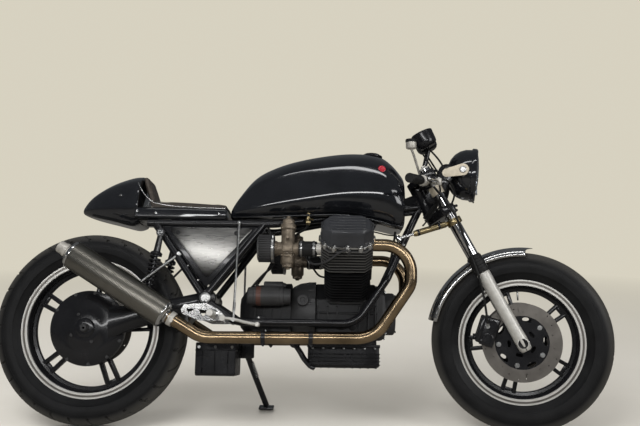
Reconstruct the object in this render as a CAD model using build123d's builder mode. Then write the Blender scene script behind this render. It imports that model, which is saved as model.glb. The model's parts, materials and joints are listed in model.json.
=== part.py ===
from build123d import *
import os
from math import atan2, cos, degrees, radians, sin, sqrt, tan

# Cafe racer motorcycle with a V-twin set across the frame and a drive shaft.
# Millimetres. The machine is drawn upright: +X forward from the rear axle,
# +Y to its left, +Z up from the ground under its tyres. It is then turned as it
# parks, leaning to its left on the side stand with the bars a little to the right.

# Chassis
wheelbase = 1513
rear_tyre_radius = 334
rear_tyre_half = 65
front_tyre_radius = 311
front_tyre_half = 59
rake = 28.5
fork_offset = 55
lean = 11.9
bars_turned = -10.7
seat_gap = 0.2
running_gap = 0.4

# Wheels
rear_flange_radius = 243.5
rear_rim_half = 45
front_flange_radius = 217.5
front_rim_half = 41
flange_height = 15
flange_room = 9
flange_width = 6
barrel_half = 30
lip_depth = 20
barrel_wall = 15
spoke_count = 5
front_spoke_angle = 38.8
rear_spoke_angle = 6
spoke_half_width = 17
spoke_web = 12
spoke_rib = 34
rib_width = 9
hub_radius = 44
hub_nose_radius = 30
front_hub_half = 61
rear_hub_right = 46
rear_hub_left = 58
axle_radius = 10
axle_bore_radius = 5
front_axle_half = 126
rear_axle_half = 124

# Brakes
disc_radius = 135
rear_disc_radius = 121
disc_thickness = 6
carrier_hole_ring = 80
carrier_hole_length = 47
carrier_hole_width = 20
caliper_length = 104
caliper_height = 62
caliper_jaw = 15
caliper_angle = 162
rear_caliper_angle = 52

# Fork
leg_half_track = 95
stanchion_radius = 19
slider_radius = 24
slider_top = 274
slider_foot = 28
boot_top = 341
boot_radius = 27
lower_yoke_at = 506
lower_yoke_height = 30
upper_yoke_at = 652
upper_yoke_height = 24
stanchion_top = 700
clamp_wall = 9
stem_radius = 15
head_tube_radius = 29
head_tube_bore = 19

# Frame tubes
rail_radius = 13
v_tube_radius = 12.5
cradle_radius = 13
rail_z = 703
rail_half_track = 95
tail_end_x = 196
pivot_x = 413
pivot_z = 440
lug_radius = 25
lug_inner = 106
lug_outer = 134
cradle_half_track = 134
cradle_z = 360
arm_inner = 81.4
arm_outer = 103.4

# Engine
crank_z = 400
bank_angle = 45
right_cylinder_x = 894
bank_stagger = 18
cylinder_base = 105
barrel_top = 235
head_top = 335
cover_plate = 8
cover_top = 398
fin_pitch = 14
fin_thickness = 4
fin_half_x = 74
head_half_x = 86
port_radius = 23
fin_half_t = 66
core_half = 54
crankcase_rear = 790
crankcase_front = 1000
crankcase_bottom = 290
crankcase_half = 104
sump_bottom = 209
sump_rear = 764
sump_front = 1012
sump_half = 104
bell_rear = 705
bell_radius = crank_z - crankcase_bottom
gearbox_rear = 525
gearbox_half = 84
front_cover_depth = 34
alternator_radius = 74
alternator_depth = 36
starter_radius = 33
starter_y = 120
starter_z = 449
starter_rear = 556

# Exhaust
pipe_radius = 21
silencer_radius = 48
silencer_half_track = 195
port_half_track = 222
port_z = 616
inlet_half_track = 202
inlet_z = 604
run_half_track = 178
run_z = 308
header_front_x = 1107

# Side stand
stand_pivot_x = 535
stand_pivot_y = 104
stand_pivot_z = 262
stand_foot_x = 604
stand_foot_y = 243
stand_radius = 11
stand_pin_radius = 7


def polar(centre_x, centre_z, radius, angle):
    """A point in the machine's side view, as (x, z)."""
    return (centre_x + radius * cos(radians(angle)), centre_z + radius * sin(radians(angle)))


def bar(start, end, radius, bore=0, sides=12):
    """A bar from start to end, or a tube where it has a bore; round where it has no sides."""
    first, last = Vector(*start), Vector(*end)
    with BuildPart() as made:
        with BuildSketch(Plane(origin=first, z_dir=last - first)):
            if sides and not bore:
                RegularPolygon(radius, sides, major_radius=False)
            else:
                Circle(radius)
            if bore:
                Circle(bore, mode=Mode.SUBTRACT)
        extrude(amount=(last - first).length)
    return made.part


def bent_tube(points, radii, radius, steps=3):
    """A twelve-sided tube along straight runs joined by arcs of short straight lengths."""
    points = [Vector(*point) for point in points]
    stations = [(points[0], (points[1] - points[0]).normalized())]
    for before, corner, after, bend in zip(points, points[1:], points[2:], radii):
        way_in, way_out = (corner - before).normalized(), (after - corner).normalized()
        angle = radians(way_in.get_angle(way_out))
        inward = (way_out - way_in * cos(angle)) / sin(angle)
        centre = corner - way_in * bend * tan(angle / 2) + inward * bend
        for step in range(steps + 1):
            turned_by = angle * step / steps
            stations.append((
                centre + (way_in * sin(turned_by) - inward * cos(turned_by)) * bend,
                way_in * cos(turned_by) + inward * sin(turned_by),
            ))
    stations.append((points[-1], (points[-1] - points[-2]).normalized()))
    with BuildPart() as made:
        for place, way in stations:
            across = way.cross(Vector(0.2, 1, 0.1)).normalized()
            with BuildSketch(Plane(origin=place, x_dir=across, z_dir=way)):
                RegularPolygon(radius, 12, major_radius=False)
        loft(ruled=True)
    return made.part


def cord(points, radii, radius):
    """A hose or lead along straight runs joined by arcs."""
    with BuildPart() as made:
        with BuildLine() as route:
            FilletPolyline(*points, radius=radii)
        with BuildSketch(Plane(origin=route.line @ 0, z_dir=route.line % 0)):
            Circle(radius)
        sweep()
    return made.part


def turned(profile, centre):
    """A ring or disc about a crosswise axis; the profile's columns are y and radius."""
    with BuildPart() as made:
        with BuildSketch(Plane(origin=centre, x_dir=(0, 1, 0), z_dir=(1, 0, 0))):
            with BuildLine():
                Polyline(*profile, close=True)
            make_face()
        revolve(axis=Axis(centre, (0, 1, 0)))
    return made.part


def slab(outline, y_from, y_to, corner=0):
    """A plate standing along the machine: its outline in x and z, its thickness across."""
    with BuildPart() as made:
        with BuildSketch(Plane(origin=(0, y_from, 0), x_dir=(1, 0, 0), z_dir=(0, -1, 0))) as face:
            with BuildLine():
                Polyline(*outline, close=True)
            make_face()
            if corner:
                fillet(face.vertices(), corner)
        extrude(amount=y_from - y_to)
    return made.part


def hull_slab(discs, y_from, y_to):
    """A plate wrapped round discs; the discs' columns are x, z and radius."""
    with BuildPart() as made:
        with BuildSketch(Plane(origin=(0, y_from, 0), x_dir=(1, 0, 0), z_dir=(0, -1, 0))):
            for x, z, radius in discs:
                with Locations((x, z)):
                    Circle(radius)
            make_hull()
        extrude(amount=y_from - y_to)
    return made.part


def lofted(stations):
    """A body through sections across the machine.

    The stations' columns are x, bottom z, top z, half width at the bottom, widest half
    width, its z, half width and z of the shoulder, half width on top.
    """
    with BuildPart() as made:
        for x, low, high, half_low, half_wide, wide_z, half_shoulder, shoulder_z, half_high in stations:
            with BuildSketch(Plane(origin=(x, 0, 0), x_dir=(0, 1, 0), z_dir=(1, 0, 0))):
                with BuildLine():
                    Polyline(
                        (-half_low, low), (half_low, low), (half_wide, wide_z), (half_shoulder, shoulder_z),
                        (half_high, high), (-half_high, high), (-half_shoulder, shoulder_z),
                        (-half_wide, wide_z), close=True,
                    )
                make_face()
        loft(ruled=True)
    return made.part


frame_pieces = {}
wheel_pieces = {}
steered_pieces = {}
hung_pieces = {}


def pair(pieces, name, right_side):
    """The right-hand piece and its mirror image on the left, in one node."""
    pieces[name] = right_side + right_side.mirror(Plane.XZ)


# Steering geometry: up the steering axis, and forward square to it
steer_up = Vector(-sin(radians(rake)), 0, cos(radians(rake)))
steer_forward = Vector(cos(radians(rake)), 0, sin(radians(rake)))
rear_axle = Vector(0, 0, rear_tyre_radius)
front_axle = Vector(wheelbase, 0, front_tyre_radius)
steering_axis = Axis(front_axle - steer_forward * fork_offset, steer_up)


def fork_point(up, forward=fork_offset, side=0):
    """A point by its height up the fork from the axle, distance ahead of the steering axis and y."""
    return front_axle + steer_up * up + steer_forward * (forward - fork_offset) + Vector(0, side, 0)


def fork_plane(up):
    """The plane square to the steering axis: local x forward, local y to the left."""
    return Plane(origin=fork_point(up, 0), x_dir=steer_forward, z_dir=steer_up)


# Wheels, cast in one with five twin-ribbed spokes
# Tyre section's columns: share of the half width, share of the height above the bead
tyre_section = ((1.0, 0.58), (0.6, 1.0))


def tyre_profile(tyre_radius, tyre_half, flange_radius, rim_half):
    bead_radius = flange_radius - flange_height
    bead_y = rim_half - flange_width - flange_room
    height = tyre_radius - bead_radius
    outer = [(bead_y, bead_radius + seat_gap)]
    outer += [(wide * tyre_half, bead_radius + tall * height) for wide, tall in tyre_section]
    return outer + [(-y, r) for y, r in reversed(outer)]


def cast_wheel(centre, flange_radius, rim_half, hub_right, hub_left, spoke_angle):
    bead_radius = flange_radius - flange_height
    barrel_radius = bead_radius - barrel_wall
    rim = [
        (rim_half, flange_radius),
        (rim_half - flange_width, flange_radius),
        (rim_half - flange_width, bead_radius),
        (flange_width - rim_half, bead_radius),
        (flange_width - rim_half, flange_radius),
        (-rim_half, flange_radius),
        (-rim_half, flange_radius - lip_depth),
        (-barrel_half, barrel_radius),
        (barrel_half, barrel_radius),
        (rim_half, flange_radius - lip_depth),
    ]
    spoke_from = hub_radius - barrel_wall
    spoke_length = barrel_radius + barrel_wall / 2 - spoke_from
    side_view = Plane(origin=centre, x_dir=(1, 0, 0), z_dir=(0, -1, 0))
    with BuildPart() as wheel:
        with BuildSketch(Plane(origin=centre, x_dir=(0, 1, 0), z_dir=(1, 0, 0))):
            with BuildLine():
                Polyline(*rim, close=True)
            make_face()
        revolve(axis=Axis(centre, (0, 1, 0)))
        with BuildSketch(side_view):
            with PolarLocations(spoke_from + spoke_length / 2, spoke_count, start_angle=spoke_angle):
                Rectangle(spoke_length, 2 * spoke_half_width)
        extrude(amount=spoke_web / 2, both=True)
        with BuildSketch(side_view):
            with PolarLocations(spoke_from + spoke_length / 2, spoke_count, start_angle=spoke_angle):
                with Locations((0, spoke_half_width - rib_width / 2), (0, rib_width / 2 - spoke_half_width)):
                    Rectangle(spoke_length, rib_width)
        extrude(amount=spoke_rib / 2, both=True)
        with BuildSketch(Plane(origin=centre + Vector(0, hub_left, 0), x_dir=(1, 0, 0), z_dir=(0, -1, 0))):
            Circle(hub_radius)
        extrude(amount=hub_left + hub_right)
        with BuildSketch(Plane(origin=centre + Vector(0, hub_left, 0), x_dir=(1, 0, 0), z_dir=(0, -1, 0))):
            Circle(axle_radius + running_gap)
        extrude(amount=hub_left + hub_right, mode=Mode.SUBTRACT)
    return wheel.part


def brake_disc(centre, inner_y, outer_y, radius):
    """A disc on its carrier with five long holes, bored for the hub's nose."""
    y_high = max(inner_y, outer_y)
    with BuildPart() as disc:
        with BuildSketch(Plane(origin=centre + Vector(0, y_high, 0), x_dir=(1, 0, 0), z_dir=(0, -1, 0))):
            Circle(radius)
            Circle(hub_nose_radius, mode=Mode.SUBTRACT)
            with PolarLocations(carrier_hole_ring, spoke_count, start_angle=front_spoke_angle):
                Rectangle(carrier_hole_width, carrier_hole_length, mode=Mode.SUBTRACT)
        extrude(amount=abs(outer_y - inner_y))
    return disc.part


wheel_pieces["front_wheel"] = cast_wheel(
    front_axle, front_flange_radius, front_rim_half, front_hub_half, front_hub_half, front_spoke_angle
)
wheel_pieces["front_tyre"] = turned(
    tyre_profile(front_tyre_radius, front_tyre_half, front_flange_radius, front_rim_half), front_axle
)
disc_inner = front_hub_half + seat_gap
pair(
    wheel_pieces, "front_discs",
    brake_disc(front_axle, -disc_inner, -disc_inner - disc_thickness, disc_radius),
)
wheel_pieces["rear_wheel"] = cast_wheel(
    rear_axle, rear_flange_radius, rear_rim_half, rear_hub_right, rear_hub_left, rear_spoke_angle
)
wheel_pieces["rear_tyre"] = turned(
    tyre_profile(rear_tyre_radius, rear_tyre_half, rear_flange_radius, rear_rim_half), rear_axle
)
rear_disc_inner = rear_hub_left + seat_gap
wheel_pieces["rear_disc"] = brake_disc(
    rear_axle, rear_disc_inner, rear_disc_inner + disc_thickness, rear_disc_radius
)


def axle(centre, half_length):
    return bar(
        centre - Vector(0, half_length, 0), centre + Vector(0, half_length, 0), axle_radius, axle_bore_radius
    )


frame_pieces["rear_axle"] = axle(rear_axle, rear_axle_half)
steered_pieces["front_axle"] = axle(front_axle, front_axle_half)


def caliper(centre, disc_y, radius, angle, clamp_half):
    """A caliper straddling a disc: two jaws and the bridge over the disc's edge."""
    x, z = polar(centre.X, centre.Z, radius - caliper_height / 4, angle)
    along_edge = (-sin(radians(angle)), 0, cos(radians(angle)))
    across = Plane(origin=(x, disc_y, z), x_dir=along_edge, z_dir=(0, -1, 0))
    with BuildPart() as made:
        with BuildSketch(across):
            Rectangle(caliper_length, caliper_height)
        extrude(amount=clamp_half, both=True)
        with BuildSketch(across):
            with Locations((0, caliper_height / 6)):
                Rectangle(caliper_length + 2, caliper_height)
        extrude(amount=clamp_half - caliper_jaw, both=True, mode=Mode.SUBTRACT)
    return made.part


# Fork, yokes and stem
with BuildPart() as slider:
    with BuildSketch(fork_plane(-slider_foot)):
        with Locations((fork_offset, -leg_half_track)):
            Circle(slider_radius)
    extrude(amount=slider_foot + slider_top)
    with BuildSketch(fork_plane(slider_top / 2)):
        with Locations((fork_offset, -leg_half_track)):
            Circle(stanchion_radius + seat_gap)
    extrude(amount=slider_top, mode=Mode.SUBTRACT)
    with BuildSketch(Plane(origin=front_axle, x_dir=(1, 0, 0), z_dir=(0, -1, 0))):
        Circle(axle_radius + seat_gap)
    extrude(amount=leg_half_track * 2, mode=Mode.SUBTRACT)
pair(steered_pieces, "fork_sliders", slider.part)
pair(
    steered_pieces, "fork_stanchions",
    bar(fork_point(slider_top / 2 + seat_gap, side=-leg_half_track),
        fork_point(stanchion_top, side=-leg_half_track), stanchion_radius, sides=0),
)
pair(
    steered_pieces, "fork_boots",
    bar(fork_point(slider_top + seat_gap, side=-leg_half_track),
        fork_point(boot_top, side=-leg_half_track), boot_radius, stanchion_radius + seat_gap),
)


def yoke(up, height, stem_bore):
    with BuildPart() as made:
        with BuildSketch(fork_plane(up)):
            for x, y, radius in (
                (0, 0, head_tube_radius),
                (fork_offset, leg_half_track, stanchion_radius + clamp_wall),
                (fork_offset, -leg_half_track, stanchion_radius + clamp_wall),
            ):
                with Locations((x, y)):
                    Circle(radius)
            make_hull()
            with Locations((fork_offset, leg_half_track), (fork_offset, -leg_half_track)):
                Circle(stanchion_radius + seat_gap, mode=Mode.SUBTRACT)
            if stem_bore:
                Circle(stem_bore, mode=Mode.SUBTRACT)
        extrude(amount=height)
    return made.part


stem_top = fork_point(upper_yoke_at + upper_yoke_height + clamp_wall, 0)
stem = bar(fork_point(lower_yoke_at, 0), stem_top, stem_radius, sides=0)
steered_pieces["lower_yoke"] = yoke(lower_yoke_at, lower_yoke_height, 0) + stem
steered_pieces["upper_yoke"] = yoke(upper_yoke_at, upper_yoke_height, stem_radius + seat_gap)
head_tube_from = lower_yoke_at + lower_yoke_height + running_gap
head_tube_to = upper_yoke_at - running_gap

# Front mudguard: a shell over the tyre from low behind to just past the top
guard_radius = front_tyre_radius + 12
guard_wall = 2
guard_half = front_tyre_half + 5
guard_side = 26
guard_front_angle = 82
guard_rear_angle = 167
guard_section = [
    (guard_half, guard_radius - guard_side),
    (guard_half + guard_wall, guard_radius - guard_side),
    (guard_half / 2, guard_radius + guard_wall + 4),
    (-guard_half / 2, guard_radius + guard_wall + 4),
    (-guard_half - guard_wall, guard_radius - guard_side),
    (-guard_half, guard_radius - guard_side),
    (-guard_half / 2, guard_radius + 4),
    (guard_half / 2, guard_radius + 4),
]
with BuildPart() as mudguard:
    with BuildSketch(Plane(origin=front_axle, x_dir=(0, 1, 0), z_dir=(1, 0, 0))):
        with BuildLine():
            Polyline(*guard_section, close=True)
        make_face()
    revolve(axis=Axis(front_axle, (0, -1, 0)), revolution_arc=guard_rear_angle - 90)
    with BuildSketch(Plane(origin=front_axle, x_dir=(0, 1, 0), z_dir=(1, 0, 0))):
        with BuildLine():
            Polyline(*guard_section, close=True)
        make_face()
    revolve(axis=Axis(front_axle, (0, 1, 0)), revolution_arc=90 - guard_front_angle)
guard_tab_at = 232
guard_tab_low = fork_point(guard_tab_at)
guard_tab_high = fork_point(306)
guard_tab = hull_slab(
    ((guard_tab_low.X, guard_tab_low.Z, 12), (guard_tab_high.X, guard_tab_high.Z, 14)), -64.2, -67.5)
guard_boss = bar(fork_point(guard_tab_at, side=-66), fork_point(guard_tab_at, side=-72.5), 8)
guard_boss = guard_boss - steered_pieces["fork_sliders"]
guard_bracket = guard_tab + guard_boss
steered_pieces["front_mudguard"] = mudguard.part + guard_bracket + guard_bracket.mirror(Plane.XZ)

disc_mid = disc_inner + disc_thickness / 2
caliper_half = 22
front_caliper = caliper(front_axle, -disc_mid, disc_radius, caliper_angle, caliper_half)
pair(steered_pieces, "front_calipers", front_caliper)

# Headlight
headlight_x = 1345
headlight_z = 903
headlight_radius = 92
headlight_tilt = 5
light_axis = Vector(cos(radians(headlight_tilt)), 0, -sin(radians(headlight_tilt)))
light_plane = Plane(origin=(headlight_x, 0, headlight_z), x_dir=(0, 1, 0), z_dir=light_axis)
shell_depth = 84
rim_depth = 22
rim_wall = 5
lens_rise = 8


def about_light(profile):
    """A round body about the beam; the profile's columns are distance forward and radius."""
    with BuildPart() as made:
        with BuildSketch(Plane(origin=light_plane.origin, x_dir=light_axis, z_dir=(0, -1, 0))):
            with BuildLine():
                Polyline(*profile, close=True)
            make_face()
        revolve(axis=Axis(light_plane.origin, light_axis))
    return made.part


steered_pieces["headlight_shell"] = about_light((
    (rim_depth, 0), (rim_depth, headlight_radius + rim_wall),
    (0, headlight_radius + rim_wall), (-0.8 * shell_depth, 0.62 * headlight_radius),
    (-shell_depth, 0),
))
steered_pieces["headlight_lens"] = about_light((
    (rim_depth + seat_gap, 0), (rim_depth + seat_gap, 0.92 * headlight_radius),
    (rim_depth + lens_rise, 0),
))

# Headlight brackets from the stanchions to the shell
bracket_at = 600
ear_wall = 5
ear_half_track = 101
bracket_z = headlight_z + 8
stanchion_mid = fork_point(bracket_at, side=-leg_half_track)
with BuildPart() as bracket:
    with BuildSketch(fork_plane(bracket_at - 16)):
        with Locations((fork_offset, -leg_half_track)):
            Circle(stanchion_radius + clamp_wall / 2)
            Circle(stanchion_radius + seat_gap, mode=Mode.SUBTRACT)
    extrude(amount=32)
ear_near = fork_point(bracket_at, fork_offset + stanchion_radius + clamp_wall / 4)
ear_x = headlight_x - 26
ear = hull_slab(
    ((ear_near.X, ear_near.Z, 15), (ear_x, bracket_z, 22)),
    ear_wall / 2 - ear_half_track, -ear_wall / 2 - ear_half_track,
)
ear_bolt = bar((ear_x, -ear_half_track, bracket_z), (ear_x, -shell_depth / 2, bracket_z), 7)
ear_bolt = ear_bolt - steered_pieces["headlight_shell"]
headlight_bracket = bracket.part + (ear - steered_pieces["fork_stanchions"]) + ear_bolt
pair(steered_pieces, "headlight_brackets", headlight_bracket)

# Clip-on bars
clip_at = 618
clip_height = 30
grip_end_y = 385
grip_length = 125
bar_radius = 11
grip_radius = 16
bar_sweep = 12
bar_drop = 4
bar_root = fork_point(clip_at + clip_height / 2, side=-leg_half_track)
bar_length = grip_end_y - leg_half_track - stanchion_radius
bar_way = Vector(-sin(radians(bar_sweep)), -cos(radians(bar_sweep)), -sin(radians(bar_drop)))
bar_start = bar_root + bar_way * (stanchion_radius + clamp_wall / 2)
bar_end = bar_root + bar_way * (bar_length + stanchion_radius)
with BuildPart() as clamp:
    with BuildSketch(fork_plane(clip_at)):
        with Locations((fork_offset, -leg_half_track)):
            Circle(stanchion_radius + clamp_wall)
            Circle(stanchion_radius + seat_gap, mode=Mode.SUBTRACT)
    extrude(amount=clip_height)
pair(steered_pieces, "clip_ons", clamp.part + bar(bar_start, bar_end, bar_radius, sides=0))
grip_start = bar_end - bar_way * grip_length
pair(
    steered_pieces, "grips",
    bar(grip_start, bar_end + bar_way * 3, grip_radius, bar_radius + seat_gap),
)
lever_root = bar_end - bar_way * (grip_length + 42)
lever_reach = 52
perch_half = bar_way * 14
perch = bar(lever_root - perch_half, lever_root + perch_half, grip_radius + 4, bar_radius + seat_gap)
lever_pivot = lever_root + Vector(lever_reach, 0, -4)
perch_arm = bar(lever_root + Vector(bar_radius + 4, 0, 0), lever_pivot, 9)
lever = bar(lever_pivot, bar_end + Vector(lever_reach + 8, 14, -2), 6)
pair(steered_pieces, "levers", perch + perch_arm + lever)

# Instruments and brake reservoir
gauge_x = 1196
gauge_z = 1002
gauge_half_track = 46
gauge_radius = 40
gauge_depth = 58
yoke_face = upper_yoke_at + upper_yoke_height
with BuildPart() as gauges:
    with BuildSketch(Plane(origin=(gauge_x, 0, gauge_z), x_dir=(0, 1, 0), z_dir=(-0.42, 0, 0.91))):
        with Locations((gauge_half_track, 0), (-gauge_half_track, 0)):
            Circle(gauge_radius)
        Rectangle(2 * gauge_half_track, gauge_radius + 4)
    extrude(amount=gauge_depth)
gauge_stalk = bar(fork_point(yoke_face, 34), (gauge_x, 0, gauge_z + 2), 12)
steered_pieces["instruments"] = gauges.part + (gauge_stalk - steered_pieces["upper_yoke"])
reservoir_base = Vector(1140, -122, 984)
reservoir_height = 36
reservoir_stalk = bar(fork_point(yoke_face, 30, -62), reservoir_base + Vector(0, 0, 2), 5)
reservoir_cup = bar(reservoir_base, reservoir_base + Vector(0, 0, reservoir_height), 20)
steered_pieces["brake_reservoir"] = reservoir_cup + (reservoir_stalk - steered_pieces["upper_yoke"])

# Frame: head tube with its gussets, rails, V tubes and cradle
with BuildPart() as head:
    with BuildSketch(fork_plane(head_tube_from)):
        Circle(head_tube_radius)
    extrude(amount=head_tube_to - head_tube_from)
    with BuildSketch(fork_plane(head_tube_from)):
        Circle(head_tube_bore)
    extrude(amount=head_tube_to - head_tube_from, mode=Mode.SUBTRACT)
gusset = slab(((1062, 752), (1185, 766), (1150, 836), (1082, 806)), 20, -20)
head_space = bar(fork_point(head_tube_from - 90, 0), fork_point(head_tube_to + 90, 0), head_tube_radius - 1)
frame_pieces["frame_head"] = head.part + (gusset - head_space)

rail_path = (
    (tail_end_x, -rail_half_track, rail_z), (640, -rail_half_track, rail_z),
    (800, -58, rail_z + 26), (1150, -26, rail_z + 80),
)
top_rail = bent_tube(rail_path, [140, 140], rail_radius)
pair(frame_pieces, "top_rails", top_rail)
v_foot_rear = (pivot_x - 14, -(lug_inner + lug_outer) / 2, pivot_z + 14)
v_foot_front = (pivot_x + 6, -(lug_inner + lug_outer) / 2, pivot_z + 16)
lug = turned(
    ((-lug_outer, 8), (-lug_inner, 8), (-lug_inner, lug_radius), (-lug_outer, lug_radius)),
    Vector(pivot_x, 0, pivot_z),
)
v_tubes = (
    bar((224, -rail_half_track, rail_z), v_foot_rear, v_tube_radius)
    + bar((606, -rail_half_track, rail_z), v_foot_front, v_tube_radius)
    + lug - top_rail
)
pair(frame_pieces, "v_tubes", v_tubes)
cradle_path = (
    (420, -120, 428), (524, -cradle_half_track, cradle_z), (930, -cradle_half_track, cradle_z),
    (1034, -cradle_half_track, 512), (1116, -44, 690), (1150, -24, 760),
)
pair(frame_pieces, "cradle_rails", bent_tube(cradle_path, [60, 90, 60, 60], cradle_radius) - lug)
for tubes in ("cradle_rails", "top_rails"):
    frame_pieces["frame_head"] = frame_pieces["frame_head"] - frame_pieces[tubes]

# Swingarm with the shaft tube on the right, and the final drive
pivot_left = (pivot_x, lug_inner - seat_gap, pivot_z)
pivot_right = (pivot_x, seat_gap - lug_inner, pivot_z)
drive_neck_x = 215
drive_neck_z = 389
pivot_tube = 24
shaft_root = 26
drive_neck = 40
left_arm = hull_slab(
    ((pivot_x, pivot_z, pivot_tube), (150, 372, 22), (0, rear_tyre_radius, 27)), arm_outer, arm_inner)
shaft_arm = hull_slab(
    ((pivot_x, pivot_z, shaft_root), (drive_neck_x, drive_neck_z, drive_neck)), -arm_inner + 8, -arm_outer)
left_axle_hole = bar(
    (0, arm_inner - 10, rear_tyre_radius), (0, arm_outer + 10, rear_tyre_radius), axle_radius + seat_gap)
swingarm = bar(pivot_right, pivot_left, pivot_tube) + left_arm + shaft_arm - left_axle_hole
frame_pieces["swingarm"] = swingarm
drive_radius = 130
drive_inner = 52
drive_outer = 104
drive = hull_slab(((0, rear_tyre_radius, drive_radius), (drive_neck_x - 46, drive_neck_z - 14, 44)),
                  -drive_inner, -drive_outer)
drive = drive - bar((0, -drive_inner + 10, rear_tyre_radius), (0, -drive_outer - 10, rear_tyre_radius),
                    axle_radius + seat_gap)
shaft_space = hull_slab(
    ((pivot_x, pivot_z, shaft_root + seat_gap), (drive_neck_x, drive_neck_z, drive_neck + seat_gap)),
    -arm_inner + 9, -arm_outer - 1,
)
frame_pieces["final_drive"] = drive - shaft_space
frame_pieces["rear_caliper"] = caliper(
    rear_axle, rear_disc_inner + disc_thickness / 2, rear_disc_radius, rear_caliper_angle, 20)

shock_y = 124
shock_top = Vector(250, -shock_y, 664)
shock_foot = Vector(206, -shock_y, 411)
shock_way = (shock_top - shock_foot).normalized()
eye_half = 12
eye_radius = 15
spring_radius = 21
damper_body_radius = 9
mount_reach = Vector(0, 30, 0)
shock = (
    bar(shock_foot, shock_top, damper_body_radius)
    + bar(shock_foot + shock_way * 46, shock_top - shock_way * 74, spring_radius)
)
for eye in (shock_top, shock_foot):
    shock += bar(eye - Vector(0, eye_half, 0), eye + Vector(0, eye_half, 0), eye_radius)
    shock += bar(eye, eye + mount_reach, 7) - frame_pieces["final_drive"]
for neighbour in (v_tubes, swingarm, swingarm.mirror(Plane.XZ)):
    shock = shock - neighbour
pair(frame_pieces, "shocks", shock)

# Engine: crankcase with sloped decks, bell housing, gearbox, covers and sump
def bank_point(along, across):
    """A point of the right-hand bank, as (y, z): along the cylinder from the crank, across downwards."""
    lean_in = radians(bank_angle)
    y = -along * sin(lean_in) - across * cos(lean_in)
    z = crank_z + along * cos(lean_in) - across * sin(lean_in)
    return (y, z)


deck_low = bank_point(cylinder_base, 62)
deck_high = bank_point(cylinder_base, -62)
case_outline = (
    (-crankcase_half, crankcase_bottom), (deck_low[0], deck_low[1]), (deck_high[0], deck_high[1]),
    (-deck_high[0], deck_high[1]), (-deck_low[0], deck_low[1]), (crankcase_half, crankcase_bottom),
)
with BuildPart() as crankcase:
    with BuildSketch(Plane(origin=(crankcase_rear, 0, 0), x_dir=(0, 1, 0), z_dir=(1, 0, 0))):
        with BuildLine():
            Polyline(*case_outline, close=True)
        make_face()
    extrude(amount=crankcase_front - crankcase_rear)
    with BuildSketch(Plane(origin=(crankcase_front, 0, crank_z), x_dir=(0, 1, 0), z_dir=(1, 0, 0))):
        Rectangle(2 * crankcase_half - 30, 190)
    extrude(amount=front_cover_depth, taper=8)
    cover_face = (crankcase_front + front_cover_depth, 0, crank_z)
    with BuildSketch(Plane(origin=cover_face, x_dir=(0, 1, 0), z_dir=(1, 0, 0))):
        Circle(alternator_radius)
    extrude(amount=alternator_depth)
    with BuildSketch(Plane(origin=(crankcase_rear, 0, crank_z), x_dir=(0, 1, 0), z_dir=(1, 0, 0))):
        Circle(bell_radius)
    extrude(amount=bell_rear - crankcase_rear)
engine_mount = bar((850, -80, cradle_z), (850, -cradle_half_track, cradle_z), 14)
engine_mounts = engine_mount + engine_mount.mirror(Plane.XZ) - frame_pieces["cradle_rails"]
frame_pieces["crankcase"] = crankcase.part + engine_mounts
with BuildPart() as gearbox:
    with BuildSketch(Plane(origin=(bell_rear - seat_gap, 0, crank_z), x_dir=(0, 1, 0), z_dir=(1, 0, 0))):
        Rectangle(2 * gearbox_half, 200)
    extrude(amount=gearbox_rear - bell_rear, taper=3)
frame_pieces["gearbox"] = gearbox.part
frame_pieces["sump"] = slab(
    ((sump_rear, sump_bottom), (sump_front - 18, sump_bottom), (sump_front, sump_bottom + 18),
     (sump_front + 4, crankcase_bottom - seat_gap), (sump_rear, crankcase_bottom - seat_gap)),
    sump_half, -sump_half,
)
frame_pieces["starter_motor"] = bar(
    (starter_rear, -starter_y, starter_z), (bell_rear - seat_gap, -starter_y, starter_z), starter_radius)


def bank_plane(along, x):
    """The plane square to the right-hand cylinder: local x forward, local y up and inwards."""
    y, z = bank_point(along, 0)
    lean_in = radians(bank_angle)
    return Plane(origin=(x, y, z), x_dir=(1, 0, 0), z_dir=(0, -sin(lean_in), cos(lean_in)))


def chamfered(half_x, half_t, cut):
    """A rectangle with its corners cut off, centred."""
    return Polyline(
        (half_x, half_t - cut), (half_x - cut, half_t), (cut - half_x, half_t), (-half_x, half_t - cut),
        (-half_x, cut - half_t), (cut - half_x, -half_t), (half_x - cut, -half_t), (half_x, cut - half_t),
        close=True,
    )


def finned_cylinder(x):
    with BuildPart() as made:
        with BuildSketch(bank_plane(cylinder_base + seat_gap, x)):
            with BuildLine():
                chamfered(core_half + 8, core_half, 22)
            make_face()
        extrude(amount=head_top - cylinder_base - seat_gap)
        along = cylinder_base + fin_pitch
        while along < head_top - cover_plate:
            half_x = fin_half_x if along < barrel_top else head_half_x
            with BuildSketch(bank_plane(along, x)):
                with BuildLine():
                    chamfered(half_x, fin_half_t, 26)
                make_face()
            extrude(amount=fin_thickness)
            along += fin_pitch
        with BuildSketch(bank_plane(head_top - cover_plate, x)):
            with BuildLine():
                chamfered(head_half_x + 2, fin_half_t - 6, 30)
            make_face()
        extrude(amount=cover_plate)
        for side, port_y, z in ((-1, inlet_half_track, inlet_z), (1, port_half_track, port_z)):
            port_at = (x + side * (core_half + 8), -port_y, z)
            face = Plane(origin=port_at, x_dir=(0, 1, 0), z_dir=(side, 0, 0))
            with BuildSketch(face):
                RegularPolygon(port_radius + 3, 8, major_radius=False)
            extrude(amount=head_half_x, mode=Mode.SUBTRACT)
    return made.part


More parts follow.
